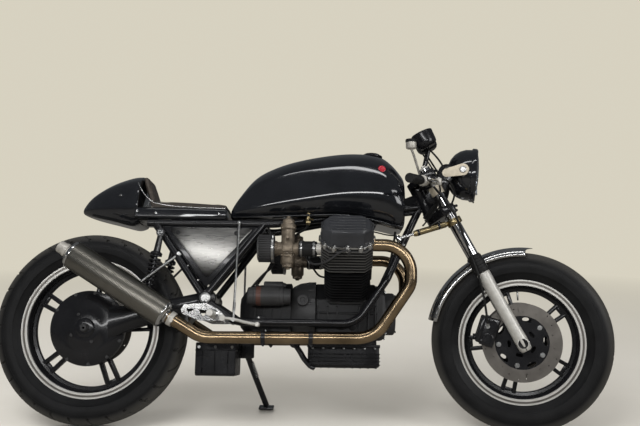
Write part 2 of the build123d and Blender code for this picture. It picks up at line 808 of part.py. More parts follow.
def rocker_cover(x):
    with BuildPart() as made:
        with BuildSketch(bank_plane(head_top + seat_gap, x)):
            with BuildLine():
                chamfered(head_half_x + 2, fin_half_t - 10, 30)
            make_face()
        extrude(amount=36, taper=5)
        with BuildSketch(bank_plane(head_top + 36, x)):
            with BuildLine():
                chamfered(head_half_x - 3, fin_half_t - 14, 32)
            make_face()
        extrude(amount=cover_top - head_top - 36, taper=42)
    return made.part


left_cylinder_x = right_cylinder_x + bank_stagger
for name, shape in (("cylinders", finned_cylinder), ("rocker_covers", rocker_cover)):
    frame_pieces[name] = shape(right_cylinder_x) + shape(left_cylinder_x).mirror(Plane.XZ)
carburettor_back = 112
carburettor_y = 194
throat_half = 44


def carburettor(x):
    body_x = x - head_half_x - carburettor_back
    body = bar((body_x, -carburettor_y, 536), (body_x, -carburettor_y, 702), 29)
    cap = bar((body_x, -carburettor_y, 702), (body_x, -carburettor_y, 715), 22)
    inlet = bar((body_x - throat_half, -carburettor_y, inlet_z), (body_x, -carburettor_y, inlet_z), 26)
    manifold_end = (x - core_half - 8 - seat_gap, -inlet_half_track, inlet_z)
    manifold = bar((body_x, -inlet_half_track, inlet_z), manifold_end, port_radius)
    return body + cap + inlet + manifold


def air_filter(x):
    back_x = x - head_half_x - carburettor_back - throat_half - seat_gap
    with BuildPart() as made:
        with BuildSketch(Plane(origin=(back_x, -carburettor_y, inlet_z), x_dir=(0, 1, 0), z_dir=(-1, 0, 0))):
            Circle(48)
        extrude(amount=58, taper=6)
    return made.part


for name, shape in (("carburettors", carburettor), ("air_filters", air_filter)):
    frame_pieces[name] = shape(right_cylinder_x) + shape(left_cylinder_x).mirror(Plane.XZ)

# Exhaust
silencer_front = Vector(301, -silencer_half_track, 373)
silencer_rear = Vector(-37, -silencer_half_track, 580)
silencer_way = (silencer_rear - silencer_front).normalized()
pipe_join_x = 412


def header(x):
    front_x = header_front_x + x - right_cylinder_x
    port_x = x + core_half + 8 + seat_gap
    points = (
        (port_x, -port_half_track, port_z), (front_x, -port_half_track, port_z),
        (front_x, -port_half_track + 10, 487), (front_x - 119, -run_half_track, run_z + 2),
        (pipe_join_x, -run_half_track - 2, run_z - 2), tuple(silencer_front),
    )
    return bent_tube(points, [64, 100, 110, 100], pipe_radius)


def silencer():
    with BuildPart() as made:
        with BuildSketch(Plane(origin=silencer_front, z_dir=silencer_way)):
            Circle(silencer_radius)
        extrude(amount=(silencer_rear - silencer_front).length)
        with BuildSketch(Plane(origin=silencer_rear, z_dir=silencer_way)):
            Circle(pipe_radius)
        extrude(amount=46)
        with BuildSketch(Plane(origin=silencer_rear, z_dir=silencer_way)):
            Circle(pipe_radius - 3)
        extrude(amount=46, mode=Mode.SUBTRACT)
    return made.part


pair(frame_pieces, "silencers", silencer())
frame_pieces["headers"] = (
    header(right_cylinder_x) + header(left_cylinder_x).mirror(Plane.XZ) - frame_pieces["silencers"]
)
hanger_band = silencer_front + silencer_way * 128
with BuildPart() as strap:
    with BuildSketch(Plane(origin=hanger_band, z_dir=silencer_way)):
        Circle(silencer_radius + 3)
        Circle(silencer_radius + seat_gap, mode=Mode.SUBTRACT)
    extrude(amount=16)
strut = bar(hanger_band + silencer_way * 8 + Vector(12, 14, silencer_radius - 6), (312, -110, 592), 4)
strut = strut - bar(silencer_front, silencer_rear, silencer_radius + seat_gap, sides=0) - v_tubes
pair(frame_pieces, "silencer_hangers", strap.part + strut)

# Tank, seat and tail
tank_stations = (
    (478, 727, 746, 62, 70, 736, 66, 742, 30),
    (512, 727, 814, 78, 98, 752, 88, 790, 34),
    (580, 727, 899, 92, 116, 765, 98, 850, 36),
    (700, 729, 948, 112, 138, 790, 116, 892, 40),
    (880, 735, 981, 124, 158, 820, 132, 916, 44),
    (1010, 712, 977, 122, 158, 830, 130, 914, 44),
    (1072, 694, 925, 112, 142, 810, 112, 880, 38),
    (1104, 700, 884, 96, 120, 790, 96, 846, 32),
)
tank = lofted(tank_stations)
tunnel_half = 84
tunnel_outline = ((470, 716), (640, 716), (800, 752), (1120, 822), (1120, 680), (470, 680))
tunnel = slab(tunnel_outline, tunnel_half, -tunnel_half)
pad = bar((600, -88, 716.9), (600, -88, 735), 9)
frame_pieces["fuel_tank"] = tank - tunnel + pad + pad.mirror(Plane.XZ)
frame_pieces["filler_cap"] = bar((988, 0, 972), (990, 0, 986), 34) - frame_pieces["fuel_tank"]

tail_stations = (
    (-62, 744, 760, 18, 24, 752, 20, 757, 10),
    (-20, 730, 815, 50, 66, 762, 54, 794, 18),
    (60, 712, 864, 74, 98, 770, 80, 824, 24),
    (135, 692, 886, 84, 114, 775, 92, 840, 28),
    (196, 718, 886, 88, 116, 778, 94, 842, 28),
)
base_stations = (
    (150, 716.5, 757, 104, 112, 732, 112, 745, 104),
    (474, 716.5, 756, 97, 99, 732, 98, 744, 90),
)
hump_cut = slab(((158, 900), (206, 757), (230, 757), (230, 900)), 140, -140)
frame_pieces["tail_cowl"] = (lofted(tail_stations) - hump_cut) + lofted(base_stations)
pad_stations = (
    (209, 757.3, 784, 82, 104, 766, 98, 776, 80),
    (472, 757.3, 775, 66, 88, 763, 84, 770, 66),
)
pad_back = slab(((164, 884), (207, 757.3), (226, 757.3), (176, 880)), 74, -74)
frame_pieces["seat_pad"] = lofted(pad_stations) - pad_back
frame_pieces["back_pad"] = pad_back
frame_pieces["battery_tray"] = slab(((378, 177), (519, 177), (519, 291), (378, 291)), 84, -84, 8)

# Side panels in the V
panel_half = 107
panel_wall = 3
border = slab(((246, 692), (590, 692), (411, 474)), panel_wall - panel_half, -panel_half, 10)
border = border - frame_pieces["top_rails"] - frame_pieces["v_tubes"]
plate = slab(((283, 684), (562, 684), (412, 520)), -panel_half, -panel_half - panel_wall, 14)
pair(frame_pieces, "side_panels", border + plate)

# Rearsets
plate_y = 150
with BuildPart() as rearset:
    with BuildSketch(Plane(origin=(0, -plate_y + 6, 0), x_dir=(1, 0, 0), z_dir=(0, -1, 0))):
        with BuildLine():
            Polyline(
                (335, 398), (345, 416), (420, 422), (462, 400), (484, 382), (484, 364), (448, 362),
                (400, 362), (340, 385), close=True,
            )
        make_face()
        with BuildLine():
            Polyline((352, 402), (384, 402), (362, 389), close=True)
        make_face(mode=Mode.SUBTRACT)
        with BuildLine():
            Polyline((394, 400), (428, 396), (412, 374), close=True)
        make_face(mode=Mode.SUBTRACT)
    extrude(amount=6)
peg = bar((446, -plate_y, 385), (446, -plate_y - 88, 385), 12)
post = bar((pivot_x, -plate_y + 6, 412), (pivot_x, -lug_outer - seat_gap, 424), 8)
pair(frame_pieces, "rearsets", rearset.part + peg + (post - lug - frame_pieces["cradle_rails"]))
lever_y = plate_y + seat_gap
pedal = (
    bar((478, -lever_y, 372), (478, -lever_y - 16, 372), 9)
    + bar((478, -lever_y - 9, 372), (600, -184, 350), 6)
    + bar((600, -178, 350), (600, -214, 350), 8)
)
pair(frame_pieces, "foot_levers", pedal)
stay = bar((521, -100, rail_z), (521, -126, rail_z), 5) + bar((521, -124, rail_z), (516, -166, 368), 4)
pair(frame_pieces, "side_stays", stay - frame_pieces["top_rails"] - frame_pieces["foot_levers"])

# Side stand
bracket_outline = ((508, 238), (566, 238), (566, 300), (590, 334), (524, 334), (508, 300))
stand_bracket = slab(bracket_outline, stand_pivot_y - 12, 70)
stand_bracket = stand_bracket - frame_pieces["gearbox"] - frame_pieces["battery_tray"]
stand_pin = bar(
    (stand_pivot_x, 85, stand_pivot_z), (stand_pivot_x, stand_pivot_y + 16, stand_pivot_z), stand_pin_radius,
    sides=0,
)
frame_pieces["stand_bracket"] = stand_bracket + stand_pin
floor_lift = tan(radians(lean))
stand_foot_z = stand_foot_y * floor_lift
foot_top = Vector(stand_foot_x, stand_foot_y, stand_foot_z + 10)
knuckle = bar(
    (stand_pivot_x, stand_pivot_y - 12 + running_gap, stand_pivot_z),
    (stand_pivot_x, stand_pivot_y + 12, stand_pivot_z), 19, stand_pin_radius + running_gap,
)
leg = bar((stand_pivot_x + 5, stand_pivot_y + 6, stand_pivot_z - 14), foot_top, stand_radius)
pin_space = bar(
    (stand_pivot_x, 40, stand_pivot_z), (stand_pivot_x, 160, stand_pivot_z), stand_pin_radius + running_gap,
    sides=0,
)
leg = leg - pin_space
foot_from = stand_foot_x - 28
foot_to = stand_foot_x + 28
foot = slab(((foot_from, 0), (foot_to, 0), (foot_to, 9), (foot_from, 9)), 22, -22, 3)
foot = foot.moved(Location((0, stand_foot_y, stand_foot_z), (lean, 0, 0)))
hung_pieces["side_stand"] = knuckle + leg + foot

# Steering damper: its barrel swivels on the right fork leg, its rod's eye rides over a tab on the frame
damper_leg_up = 474
damper_eye_up = 512
damper_eye_forward = -165
damper_eye_side = -108
damper_ring_radius = 27
damper_ring_half = 11
damper_barrel_radius = 11
damper_barrel_length = 122
damper_rod_radius = 5
damper_rod_length = 126
damper_eye_radius = 9
damper_swivel = fork_point(damper_leg_up, side=-leg_half_track)
parked_eye = Vector(damper_eye_forward, damper_eye_side, 0).rotate(Axis.Z, -bars_turned)
damper_eye = fork_point(damper_eye_up, parked_eye.X, parked_eye.Y)
damper_way = (damper_eye - damper_swivel).normalized()
damper_mouth = damper_swivel + damper_way * (damper_ring_radius + damper_barrel_length)
damper_bore = bar(damper_swivel, damper_mouth + damper_way, damper_rod_radius + running_gap, sides=0)
damper_leg_low = fork_point(damper_leg_up - 40, side=-leg_half_track)
damper_leg_high = fork_point(damper_leg_up + 40, side=-leg_half_track)
stanchion_space = bar(damper_leg_low, damper_leg_high, stanchion_radius + running_gap, sides=0)
barrel = bar(
    fork_point(damper_leg_up - damper_ring_half, side=-leg_half_track),
    fork_point(damper_leg_up + damper_ring_half, side=-leg_half_track), damper_ring_radius,
) + bar(damper_swivel, damper_mouth, damper_barrel_radius)
steered_pieces["damper_barrel"] = barrel - stanchion_space - damper_bore
damper_pin_half = steer_up * damper_ring_half
rod_from = damper_eye - damper_way * damper_rod_length
rod_to = damper_eye - damper_way * damper_eye_radius / 2
rod_eye = bar(damper_eye - damper_pin_half, damper_eye + damper_pin_half, damper_eye_radius)
steered_pieces["damper_rod"] = bar(rod_from, rod_to, damper_rod_radius, sides=0) + rod_eye
tab_drop = 28
frame_eye = fork_point(damper_eye_up - tab_drop, damper_eye_forward, damper_eye_side)
tab_root = Vector(1087, -80, 628)
damper_tab = bar(frame_eye - steer_up * 3, frame_eye + steer_up * 3, 12) + bar(frame_eye, tab_root, 6)
frame_pieces["damper_tab"] = damper_tab - frame_pieces["cradle_rails"]

# Front brake hose and fuel tap
hose_path = (
    (1215, -214, 844.7), (1290, -150, 762), (1332, -130, 640), (1384, -130, 500), (1398, -92, 372),
)
steered_pieces["brake_hose"] = cord(hose_path, [60, 80, 50], 4)
tap = bar((760, -106, 742), (760, -106, 700), 9) + bar((760, -106, 708), (760, -124, 708), 6)
frame_pieces["fuel_tap"] = tap - frame_pieces["fuel_tank"]

# Parking: the bars turned, the machine leant over, then tipped so that both tyres touch
def lowest(centre, axle_way, tyre_radius, tyre_half, flange_radius):
    bead_radius = flange_radius - flange_height
    drops = []
    for wide, tall in tyre_section:
        ring = bead_radius + tall * (tyre_radius - bead_radius)
        for side in (-1, 1):
            drops.append(centre.Z + side * wide * tyre_half * axle_way.Z - ring * sqrt(1 - axle_way.Z ** 2))
    return min(drops)


lean_over = Location((0, 0, 0), (-lean, 0, 0))


def leant(point):
    return Vector(
        point.X,
        point.Y * cos(radians(lean)) + point.Z * sin(radians(lean)),
        point.Z * cos(radians(lean)) - point.Y * sin(radians(lean)),
    )


axle_way_turned = Vector(0, 1, 0).rotate(Axis((0, 0, 0), steer_up), bars_turned)
hub_offset = (front_axle - steering_axis.position).rotate(Axis((0, 0, 0), steer_up), bars_turned)
front_centre = leant(steering_axis.position + hub_offset)
rear_low = lowest(
    leant(rear_axle), leant(Vector(0, 1, 0)), rear_tyre_radius, rear_tyre_half, rear_flange_radius
)
front_low = lowest(
    front_centre, leant(axle_way_turned), front_tyre_radius, front_tyre_half, front_flange_radius
)
pitch = degrees(atan2(front_low - rear_low, wheelbase))
parked = Location((0, 0, -rear_low)) * Location((0, 0, 0), (0, pitch, 0)) * lean_over

os.makedirs("parts", exist_ok=True)
placed = {}
for name, piece in {**frame_pieces, **wheel_pieces, **steered_pieces, **hung_pieces}.items():
    front_end = name in steered_pieces or name.startswith("front_")
    turned_piece = piece.rotate(steering_axis, bars_turned) if front_end else piece
    placed[name] = turned_piece.moved(parked)
boxes = [piece.bounding_box() for piece in placed.values()]
middle_x = (min(box.min.X for box in boxes) + max(box.max.X for box in boxes)) / 2
middle_y = (min(box.min.Y for box in boxes) + max(box.max.Y for box in boxes)) / 2
to_middle = Location((-middle_x, -middle_y, 0))
for name, piece in placed.items():
    standing = piece.moved(to_middle)
    standing.label = name
    export_step(standing, "parts/" + name + ".step")
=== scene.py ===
import json
import math

import bmesh
import bpy
from mathutils import Matrix, Vector


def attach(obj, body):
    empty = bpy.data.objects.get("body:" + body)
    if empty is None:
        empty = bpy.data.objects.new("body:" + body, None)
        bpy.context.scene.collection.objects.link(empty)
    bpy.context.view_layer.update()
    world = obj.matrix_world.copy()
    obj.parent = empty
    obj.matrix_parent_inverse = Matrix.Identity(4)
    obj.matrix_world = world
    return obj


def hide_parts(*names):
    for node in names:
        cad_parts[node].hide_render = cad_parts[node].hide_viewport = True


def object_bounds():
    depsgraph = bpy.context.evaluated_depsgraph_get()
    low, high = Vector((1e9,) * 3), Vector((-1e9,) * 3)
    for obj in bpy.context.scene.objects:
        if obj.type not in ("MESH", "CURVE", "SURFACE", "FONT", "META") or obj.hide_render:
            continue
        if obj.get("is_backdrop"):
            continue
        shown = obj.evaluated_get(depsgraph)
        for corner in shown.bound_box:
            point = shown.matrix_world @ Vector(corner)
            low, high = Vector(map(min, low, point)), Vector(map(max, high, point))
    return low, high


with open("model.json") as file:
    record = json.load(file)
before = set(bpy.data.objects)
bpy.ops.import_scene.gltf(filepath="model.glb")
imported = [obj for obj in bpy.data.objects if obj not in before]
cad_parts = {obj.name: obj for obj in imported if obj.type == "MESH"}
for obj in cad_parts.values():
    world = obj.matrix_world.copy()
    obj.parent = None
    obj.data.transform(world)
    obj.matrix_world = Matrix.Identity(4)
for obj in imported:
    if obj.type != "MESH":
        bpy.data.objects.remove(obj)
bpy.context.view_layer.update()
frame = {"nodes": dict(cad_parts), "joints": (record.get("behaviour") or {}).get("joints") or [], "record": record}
joints = {joint["name"]: joint for joint in frame["joints"]}

# Pieces are drawn in millimetres on the upright machine: x forward from the rear axle, y to its left and
# z up from the floor. upright takes them to the parked machine, steered does so with the bars turned as well
setUp = {"rearRadius": 334, "barsTurned": -10.7, "rake": 28.5, "forkOffset": 55, "frontAxle": (1513, 0, 311)}
rearAxle = Vector(joints["rear_wheel_spin"]["pos_m"])
leftward = Vector(joints["rear_wheel_spin"]["axis"])
pitch = math.atan(leftward.x / leftward.z)
forward = Vector((math.cos(pitch), 0, -math.sin(pitch)))
upward = forward.cross(leftward)
origin = rearAxle - upward * setUp["rearRadius"] / 1000
turned = Matrix((forward, leftward, upward)).transposed().to_4x4()
upright = Matrix.Translation(origin) @ turned @ Matrix.Scale(0.001, 4)
steerAt = Vector(joints["steering"]["pos_m"])
steerTurn = Matrix.Rotation(math.radians(setUp["barsTurned"]), 4, Vector(joints["steering"]["axis"]))
steered = Matrix.Translation(steerAt) @ steerTurn @ Matrix.Translation(-steerAt) @ upright
rearHub = Vector((0, 0, setUp["rearRadius"]))
frontHub = Vector(setUp["frontAxle"])
forkUp = Vector((-math.sin(math.radians(setUp["rake"])), 0, math.cos(math.radians(setUp["rake"]))))
forkAhead = Vector((forkUp.z, 0, -forkUp.x))


def onFork(up, ahead=55, side=0):
    # A point by its height up the fork from the axle, distance ahead of the steering axis and y
    return frontHub + forkUp * up + forkAhead * (ahead - setUp["forkOffset"]) + Vector((0, side, 0))


def placeOf(body):
    # What turns with the bars is placed by steered, all else by upright
    return steered if body in ("steering", "front_wheel", "damper_barrel", "damper_rod") else upright


# Shader nodes
def feed(node, values):
    # Sets a node's inputs; a value that is a socket is linked to its input
    for key, value in values.items():
        if isinstance(value, bpy.types.NodeSocket):
            node.id_data.links.new(value, node.inputs[key])
        else:
            node.inputs[key].default_value = value
    return node


def added(tree, kind, values=None, **settings):
    # A new node with its settings and inputs
    node = tree.nodes.new("ShaderNode" + kind)
    for key, setting in settings.items():
        setattr(node, key, setting)
    return feed(node, values or {})


def ramp(tree, share, low, high, stops=(0.0, 1.0)):
    # A colour that goes from low to high between two stops of a share
    node = added(tree, "ValToRGB", {"Fac": share})
    for element, stop, colour in zip(node.color_ramp.elements, stops, (low, high)):
        element.position, element.color = stop, colour
    return node.outputs["Color"]


def blended(tree, share, near, far):
    # A colour between a socket's and a plain one
    return added(tree, "Mix", {0: share, 6: near, 7: (*far, 1)}, data_type="RGBA").outputs[2]


# Camera, floor and light
shot = {"lens": 44.49, "fromRearAxle": (0.8365, -2.7916, 0.5018), "down": 1.643, "turn": 0.727, "roll": 0.63}
lens = bpy.data.cameras.new("camera")
lens.lens = shot["lens"]
lens.sensor_width = 36
camera = bpy.data.objects.new("camera", lens)
bpy.context.scene.collection.objects.link(camera)
camera.location = rearAxle + Vector(shot["fromRearAxle"])
camera.rotation_euler = (
    Matrix.Rotation(math.radians(shot["turn"]), 3, "Z")
    @ Matrix.Rotation(math.radians(90 - shot["down"]), 3, "X")
    @ Matrix.Rotation(math.radians(shot["roll"]), 3, "Z")
).to_euler()
bpy.context.scene.camera = camera
bpy.context.scene.view_settings.view_transform = "Standard"

studio = {"floorSize": 60, "worldLight": 0.4, "reflected": 0.09, "key": 115, "fill": 34, "back": 50,
          "backdrop": (0.68, 0.64, 0.53, 1), "fadeFrom": 1.6, "fadeTo": 6.0}
floorForm = bmesh.new()
bmesh.ops.create_grid(floorForm, x_segments=8, y_segments=8, size=studio["floorSize"] / 2)
floorMesh = bpy.data.meshes.new("floor")
floorForm.to_mesh(floorMesh)
floorForm.free()
floor = bpy.data.objects.new("floor", floorMesh)
bpy.context.scene.collection.objects.link(floor)
floor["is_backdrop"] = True
paleFloor = bpy.data.materials.new("paleFloor")
paleFloor.use_nodes = True
floorMesh.materials.append(paleFloor)
tree = paleFloor.node_tree
where = added(tree, "TexCoord").outputs["Object"]
rays = added(tree, "LightPath").outputs
noise = added(tree, "TexNoise", {"Vector": where, "Scale": 1.4, "Detail": 7.0}).outputs["Fac"]
floorTone = ramp(tree, noise, (0.66, 0.635, 0.575, 1), (0.73, 0.705, 0.65, 1))
matt = feed(tree.nodes["Principled BSDF"],
            {"Base Color": floorTone, "Roughness": 0.7, "Specular IOR Level": 0.25})
# Mirror-like pieces see a darker floor: a painted shade in their reflections, not the floor's own colour
reflectedFloorShade = added(tree, "BsdfDiffuse", {"Color": (0.16, 0.155, 0.145, 1)})
floorSeen = added(tree, "MixShader",
    {0: rays["Is Glossy Ray"], 1: matt.outputs["BSDF"], 2: reflectedFloorShade.outputs["BSDF"]})
# Far off, the floor fades into the backdrop for the camera alone
reach = added(tree, "VectorMath", {0: where}, operation="LENGTH").outputs["Value"]
fade = added(tree, "MapRange", {"Value": reach, "From Min": studio["fadeFrom"], "From Max": studio["fadeTo"]})
far = added(tree, "Math", {0: fade.outputs["Result"], 1: rays["Is Camera Ray"]}, operation="MULTIPLY")
distant = added(tree, "Emission", {"Color": studio["backdrop"]})
meeting = added(tree, "MixShader", {0: far.outputs["Value"], 1: floorSeen.outputs["Shader"],
                                    2: distant.outputs["Emission"]})
feed(tree.nodes["Material Output"], {"Surface": meeting.outputs["Shader"]})

# The world is dimmer in reflections, and the camera sees the backdrop instead of it
world = bpy.data.worlds.new("world")
world.use_nodes = True
tree = world.node_tree
rays = added(tree, "LightPath").outputs
sky = feed(tree.nodes["Background"], {"Color": (1.0, 0.97, 0.92, 1), "Strength": studio["worldLight"]})
dim = added(tree, "Background", {"Color": (0.9, 0.95, 1.0, 1), "Strength": studio["reflected"]})
backing = added(tree, "Background", {"Color": studio["backdrop"]})
lit = added(tree, "MixShader", {0: rays["Is Glossy Ray"], 1: sky.outputs[0], 2: dim.outputs[0]})
either = added(tree, "MixShader", {0: rays["Is Camera Ray"], 1: lit.outputs[0], 2: backing.outputs[0]})
feed(tree.nodes["World Output"], {"Surface": either.outputs[0]})
bpy.context.scene.world = world
for name, place, aim, size, power in (
    ("key", (-1.4, -2.6, 3.1), (0.0, 0, 0.5), (2.6, 1.8), studio["key"]),
    ("overhead", (0.2, -1.2, 3.3), (0.1, 0, 0.4), (3.0, 0.2), studio["fill"] * 0.35),
    ("side", (2.9, -1.9, 1.7), (0.3, 0, 0.5), (1.2, 1.8), studio["fill"] * 0.8),
    ("line", (0.0, -4.2, 1.9), (0.1, 0, 0.4), (4.4, 0.3), studio["fill"] * 1.3),
    ("behind", (-0.4, 3.4, 2.4), (0, 0, 0.5), (3.0, 1.6), studio["back"]),
):
    panel = bpy.data.lights.new(name, "AREA")
    panel.shape = "RECTANGLE"
    panel.size, panel.size_y = size
    panel.energy = power
    lamp = bpy.data.objects.new(name, panel)
    bpy.context.scene.collection.objects.link(lamp)
    lamp.visible_glossy = name in ("overhead", "side", "line")
    lamp.location = place
    lamp.rotation_euler = (Vector(aim) - Vector(place)).to_track_quat("-Z", "Y").to_euler()
print("camera, floor and light are set")


# Materials
def finishOf(name, colour, rough, metal=0.0, coat=0.0, tone=0.18, patch=18.0, grain=260.0, bump=0.08,
             spread=0.1, worn=None, stretch=None, cells=0.0, shine=0.5):
    # A finish with patches of tone, grain in its gloss and relief, and a lighter colour on worn edges
    made = bpy.data.materials.new(name)
    made.use_nodes = True
    tree = made.node_tree
    where = added(tree, "TexCoord").outputs["Object"]
    if stretch:
        where = added(tree, "Mapping", {"Vector": where, "Scale": stretch}).outputs["Vector"]
    patches = added(tree, "TexNoise", {"Vector": where, "Scale": patch, "Detail": 6.0}).outputs["Fac"]
    shade = ramp(tree, patches, [part * (1 - tone) for part in colour] + [1],
                 [min(1, part * (1 + tone)) for part in colour] + [1], (0.32, 0.7))
    if worn:
        edges = added(tree, "NewGeometry").outputs["Pointiness"]
        shade = blended(tree, ramp(tree, edges, (0, 0, 0, 1), (1, 1, 1, 1), (0.53, 0.62)), shade, worn)
    fine = added(tree, "TexVoronoi" if cells else "TexNoise",
                 {"Vector": where, "Scale": cells or grain, "Detail": 3.0})
    relief = fine.outputs["Distance" if cells else "Fac"]
    gloss = added(tree, "MapRange", {"Value": patches, "To Min": max(0.02, rough - spread),
                                     "To Max": min(1.0, rough + spread)})
    bumps = added(tree, "Bump", {"Strength": bump, "Distance": 0.0005, "Height": relief})
    feed(tree.nodes["Principled BSDF"], {
        "Base Color": shade, "Metallic": metal, "Roughness": gloss.outputs["Result"],
        "Specular IOR Level": shine,
        "Coat Weight": coat, "Coat Roughness": 0.05, "Normal": bumps.outputs["Normal"]})
    return made


# Each finish: its slot, colour, roughness and what else differs from the plain one
mixes = {
    "glossBlack": ("gloss_black", (0.006, 0.0065, 0.008), 0.1, {"coat": 1.0, "bump": 0.01, "spread": 0.03}),
    "satinBlack": ("satin_black", (0.006, 0.006, 0.007), 0.24, {"coat": 0.4, "bump": 0.05, "shine": 0.4}),
    "wheelBlack": ("gloss_black", (0.007, 0.007, 0.008), 0.26, {"coat": 0.2, "bump": 0.08, "shine": 0.3}),
    "castBlack": ("cast_black", (0.006, 0.006, 0.0065), 0.38, {"bump": 0.4, "grain": 420, "shine": 0.25}),
    "finBlack": ("engine_dark", (0.01, 0.01, 0.011), 0.38,
           {"bump": 0.3, "grain": 420, "shine": 0.35, "worn": (0.07, 0.068, 0.064)}),
    "caseGrey": ("engine_dark", (0.035, 0.035, 0.036), 0.42,
           {"metal": 0.3, "bump": 0.35, "grain": 380, "shine": 0.3}),
    "coverGrey": ("engine_dark", (0.022, 0.023, 0.026), 0.32, {"coat": 0.1, "bump": 0.15, "shine": 0.4}),
    "oldAlloy": ("alloy", (0.2, 0.165, 0.125), 0.42,
           {"metal": 0.7, "tone": 0.4, "patch": 60, "bump": 0.4, "grain": 340}),
    "castAlloy": ("alloy", (0.5, 0.48, 0.44), 0.42,
           {"metal": 0.6, "tone": 0.22, "patch": 40, "bump": 0.3, "grain": 340}),
    "polished": ("polished", (0.74, 0.735, 0.72), 0.16,
           {"metal": 1.0, "tone": 0.08, "bump": 0.02, "spread": 0.06}),
    "forkAlloy": ("polished", (0.5, 0.49, 0.46), 0.42,
           {"metal": 0.55, "tone": 0.1, "patch": 60, "bump": 0.06, "spread": 0.06}),
    "rimAlloy": ("polished", (0.6, 0.59, 0.56), 0.34,
           {"metal": 0.6, "tone": 0.05, "patch": 40, "bump": 0.02, "spread": 0.04}),
    "earAlloy": ("satin_black", (0.5, 0.45, 0.36), 0.5,
           {"metal": 0.3, "tone": 0.15, "patch": 50, "bump": 0.2}),
    "chrome": ("chrome", (0.8, 0.8, 0.8), 0.06, {"metal": 1.0, "tone": 0.05, "bump": 0.01, "spread": 0.03}),
    "discSteel": ("steel", (0.19, 0.176, 0.16), 0.34, {"metal": 0.8, "tone": 0.1, "patch": 30, "bump": 0.05}),
    "zinc": ("steel", (0.5, 0.5, 0.49), 0.32, {"metal": 1.0, "tone": 0.2, "patch": 80, "bump": 0.1}),
    "canMetal": ("can_metal", (0.29, 0.275, 0.24), 0.37,
           {"metal": 1.0, "tone": 0.07, "patch": 30, "grain": 900, "bump": 0.03, "spread": 0.03}),
    "bronzePipe": ("bronze_pipe", (0.42, 0.31, 0.19), 0.24,
           {"metal": 1.0, "tone": 0.4, "patch": 11, "bump": 0.06}),
    "tyreRubber": ("tyre_rubber", (0.0065, 0.0066, 0.007), 0.44,
           {"tone": 0.25, "bump": 0.35, "grain": 500, "shine": 0.2}),
    "softRubber": ("rubber", (0.01, 0.01, 0.01), 0.48, {"bump": 0.3, "grain": 600, "shine": 0.2}),
    "filterCloth": ("filter_cloth", (0.022, 0.022, 0.023), 0.8, {"bump": 0.6, "grain": 900}),
    "leather": ("seat_black", (0.045, 0.038, 0.032), 0.5,
           {"tone": 0.3, "patch": 24, "bump": 0.45, "cells": 520, "shine": 0.3}),
    "stitch": ("seat_black", (0.06, 0.055, 0.05), 0.7, {"bump": 0.4, "grain": 900}),
    "redBadge": ("gloss_black", (0.3, 0.008, 0.02), 0.25, {"coat": 0.6, "bump": 0.02}),
    "dialFace": ("gloss_black", (0.012, 0.012, 0.013), 0.5, {"bump": 0.05}),
    "amberBand": ("engine_dark", (0.05, 0.02, 0.014), 0.4, {"bump": 0.1}),
    "brass": ("alloy", (0.5, 0.4, 0.22), 0.3, {"metal": 1.0, "tone": 0.2, "patch": 60, "bump": 0.15}),
    "paleMark": ("gloss_black", (0.7, 0.7, 0.68), 0.5, {"tone": 0.05}),
    "amber": ("lens", (0.6, 0.16, 0.02), 0.2, {"coat": 0.5, "bump": 0.02}),
    "reflector": ("chrome", (0.78, 0.8, 0.83), 0.08,
           {"metal": 1.0, "tone": 0.05, "bump": 0.02, "spread": 0.03}),
    "glass": ("lens", (0.9, 0.92, 0.94), 0.05, {"tone": 0.02, "bump": 0.02, "spread": 0.02}),
}
finishes = {name: (finishOf(name, colour, rough, **looks), slot)
            for name, (slot, colour, rough, looks) in mixes.items()}
feed(finishes["glass"][0].node_tree.nodes["Principled BSDF"], {"Transmission Weight": 1.0, "IOR": 1.3})
print("finishes are mixed")


# Forms: each is a mesh in the machine's millimetres
def lathe(origin, way, profile, steps=48):
    # A form turned about an axis; the profile's columns are distance along it and radius
    form = bmesh.new()
    way = Vector(way).normalized()
    side = way.orthogonal().normalized()
    made = [form.verts.new(Vector(origin) + way * along + side * radius) for along, radius in profile]
    edges = [form.edges.new(ends) for ends in zip(made, made[1:])]
    bmesh.ops.spin(form, geom=made + edges, cent=origin, axis=way, angle=math.tau, steps=steps,
        use_merge=True, dvec=(0, 0, 0))
    bmesh.ops.remove_doubles(form, verts=form.verts, dist=0.002)
    return form


def rod(start, end, radius, endRadius=None, steps=24, soften=0.0):
    # A round bar, its rims softened
    start, end = Vector(start), Vector(end)
    form = bmesh.new()
    way = (end - start).to_track_quat("Z", "Y").to_matrix().to_4x4()
    bmesh.ops.create_cone(
        form, cap_ends=True, segments=steps, radius1=radius, radius2=radius if endRadius is None
        else endRadius,
        depth=(end - start).length, matrix=Matrix.Translation((start + end) / 2) @ way)
    if soften:
        rims = [edge for edge in form.edges if any(len(face.verts) > 4 for face in edge.link_faces)]
        bmesh.ops.bevel(form, geom=rims, offset=soften, segments=2, profile=0.5, affect="EDGES", material=-1)
    return form


def plate(outline, near, far, corner=0.0, soften=0.0, steps=4):
    # A plate standing along the machine: its outline in x and z, its two faces' y
    form = bmesh.new()
    form.faces.new([form.verts.new((x, near, z)) for x, z in outline])
    if corner:
        bmesh.ops.bevel(form, geom=form.verts[:], offset=corner, segments=steps, profile=0.5,
            affect="VERTICES", material=-1)
    grown = bmesh.ops.extrude_face_region(form, geom=form.faces[:], use_keep_orig=True)
    bmesh.ops.translate(form, verts=[v for v in grown["geom"] if isinstance(v, bmesh.types.BMVert)],
                        vec=(0, far - near, 0))
    bmesh.ops.recalc_face_normals(form, faces=form.faces)
    if soften:
        rims = [edge for edge in form.edges if edge.calc_face_angle(0) > 0.9]
        bmesh.ops.bevel(form, geom=rims, offset=soften, segments=2, profile=0.5, affect="EDGES", material=-1)
    return form


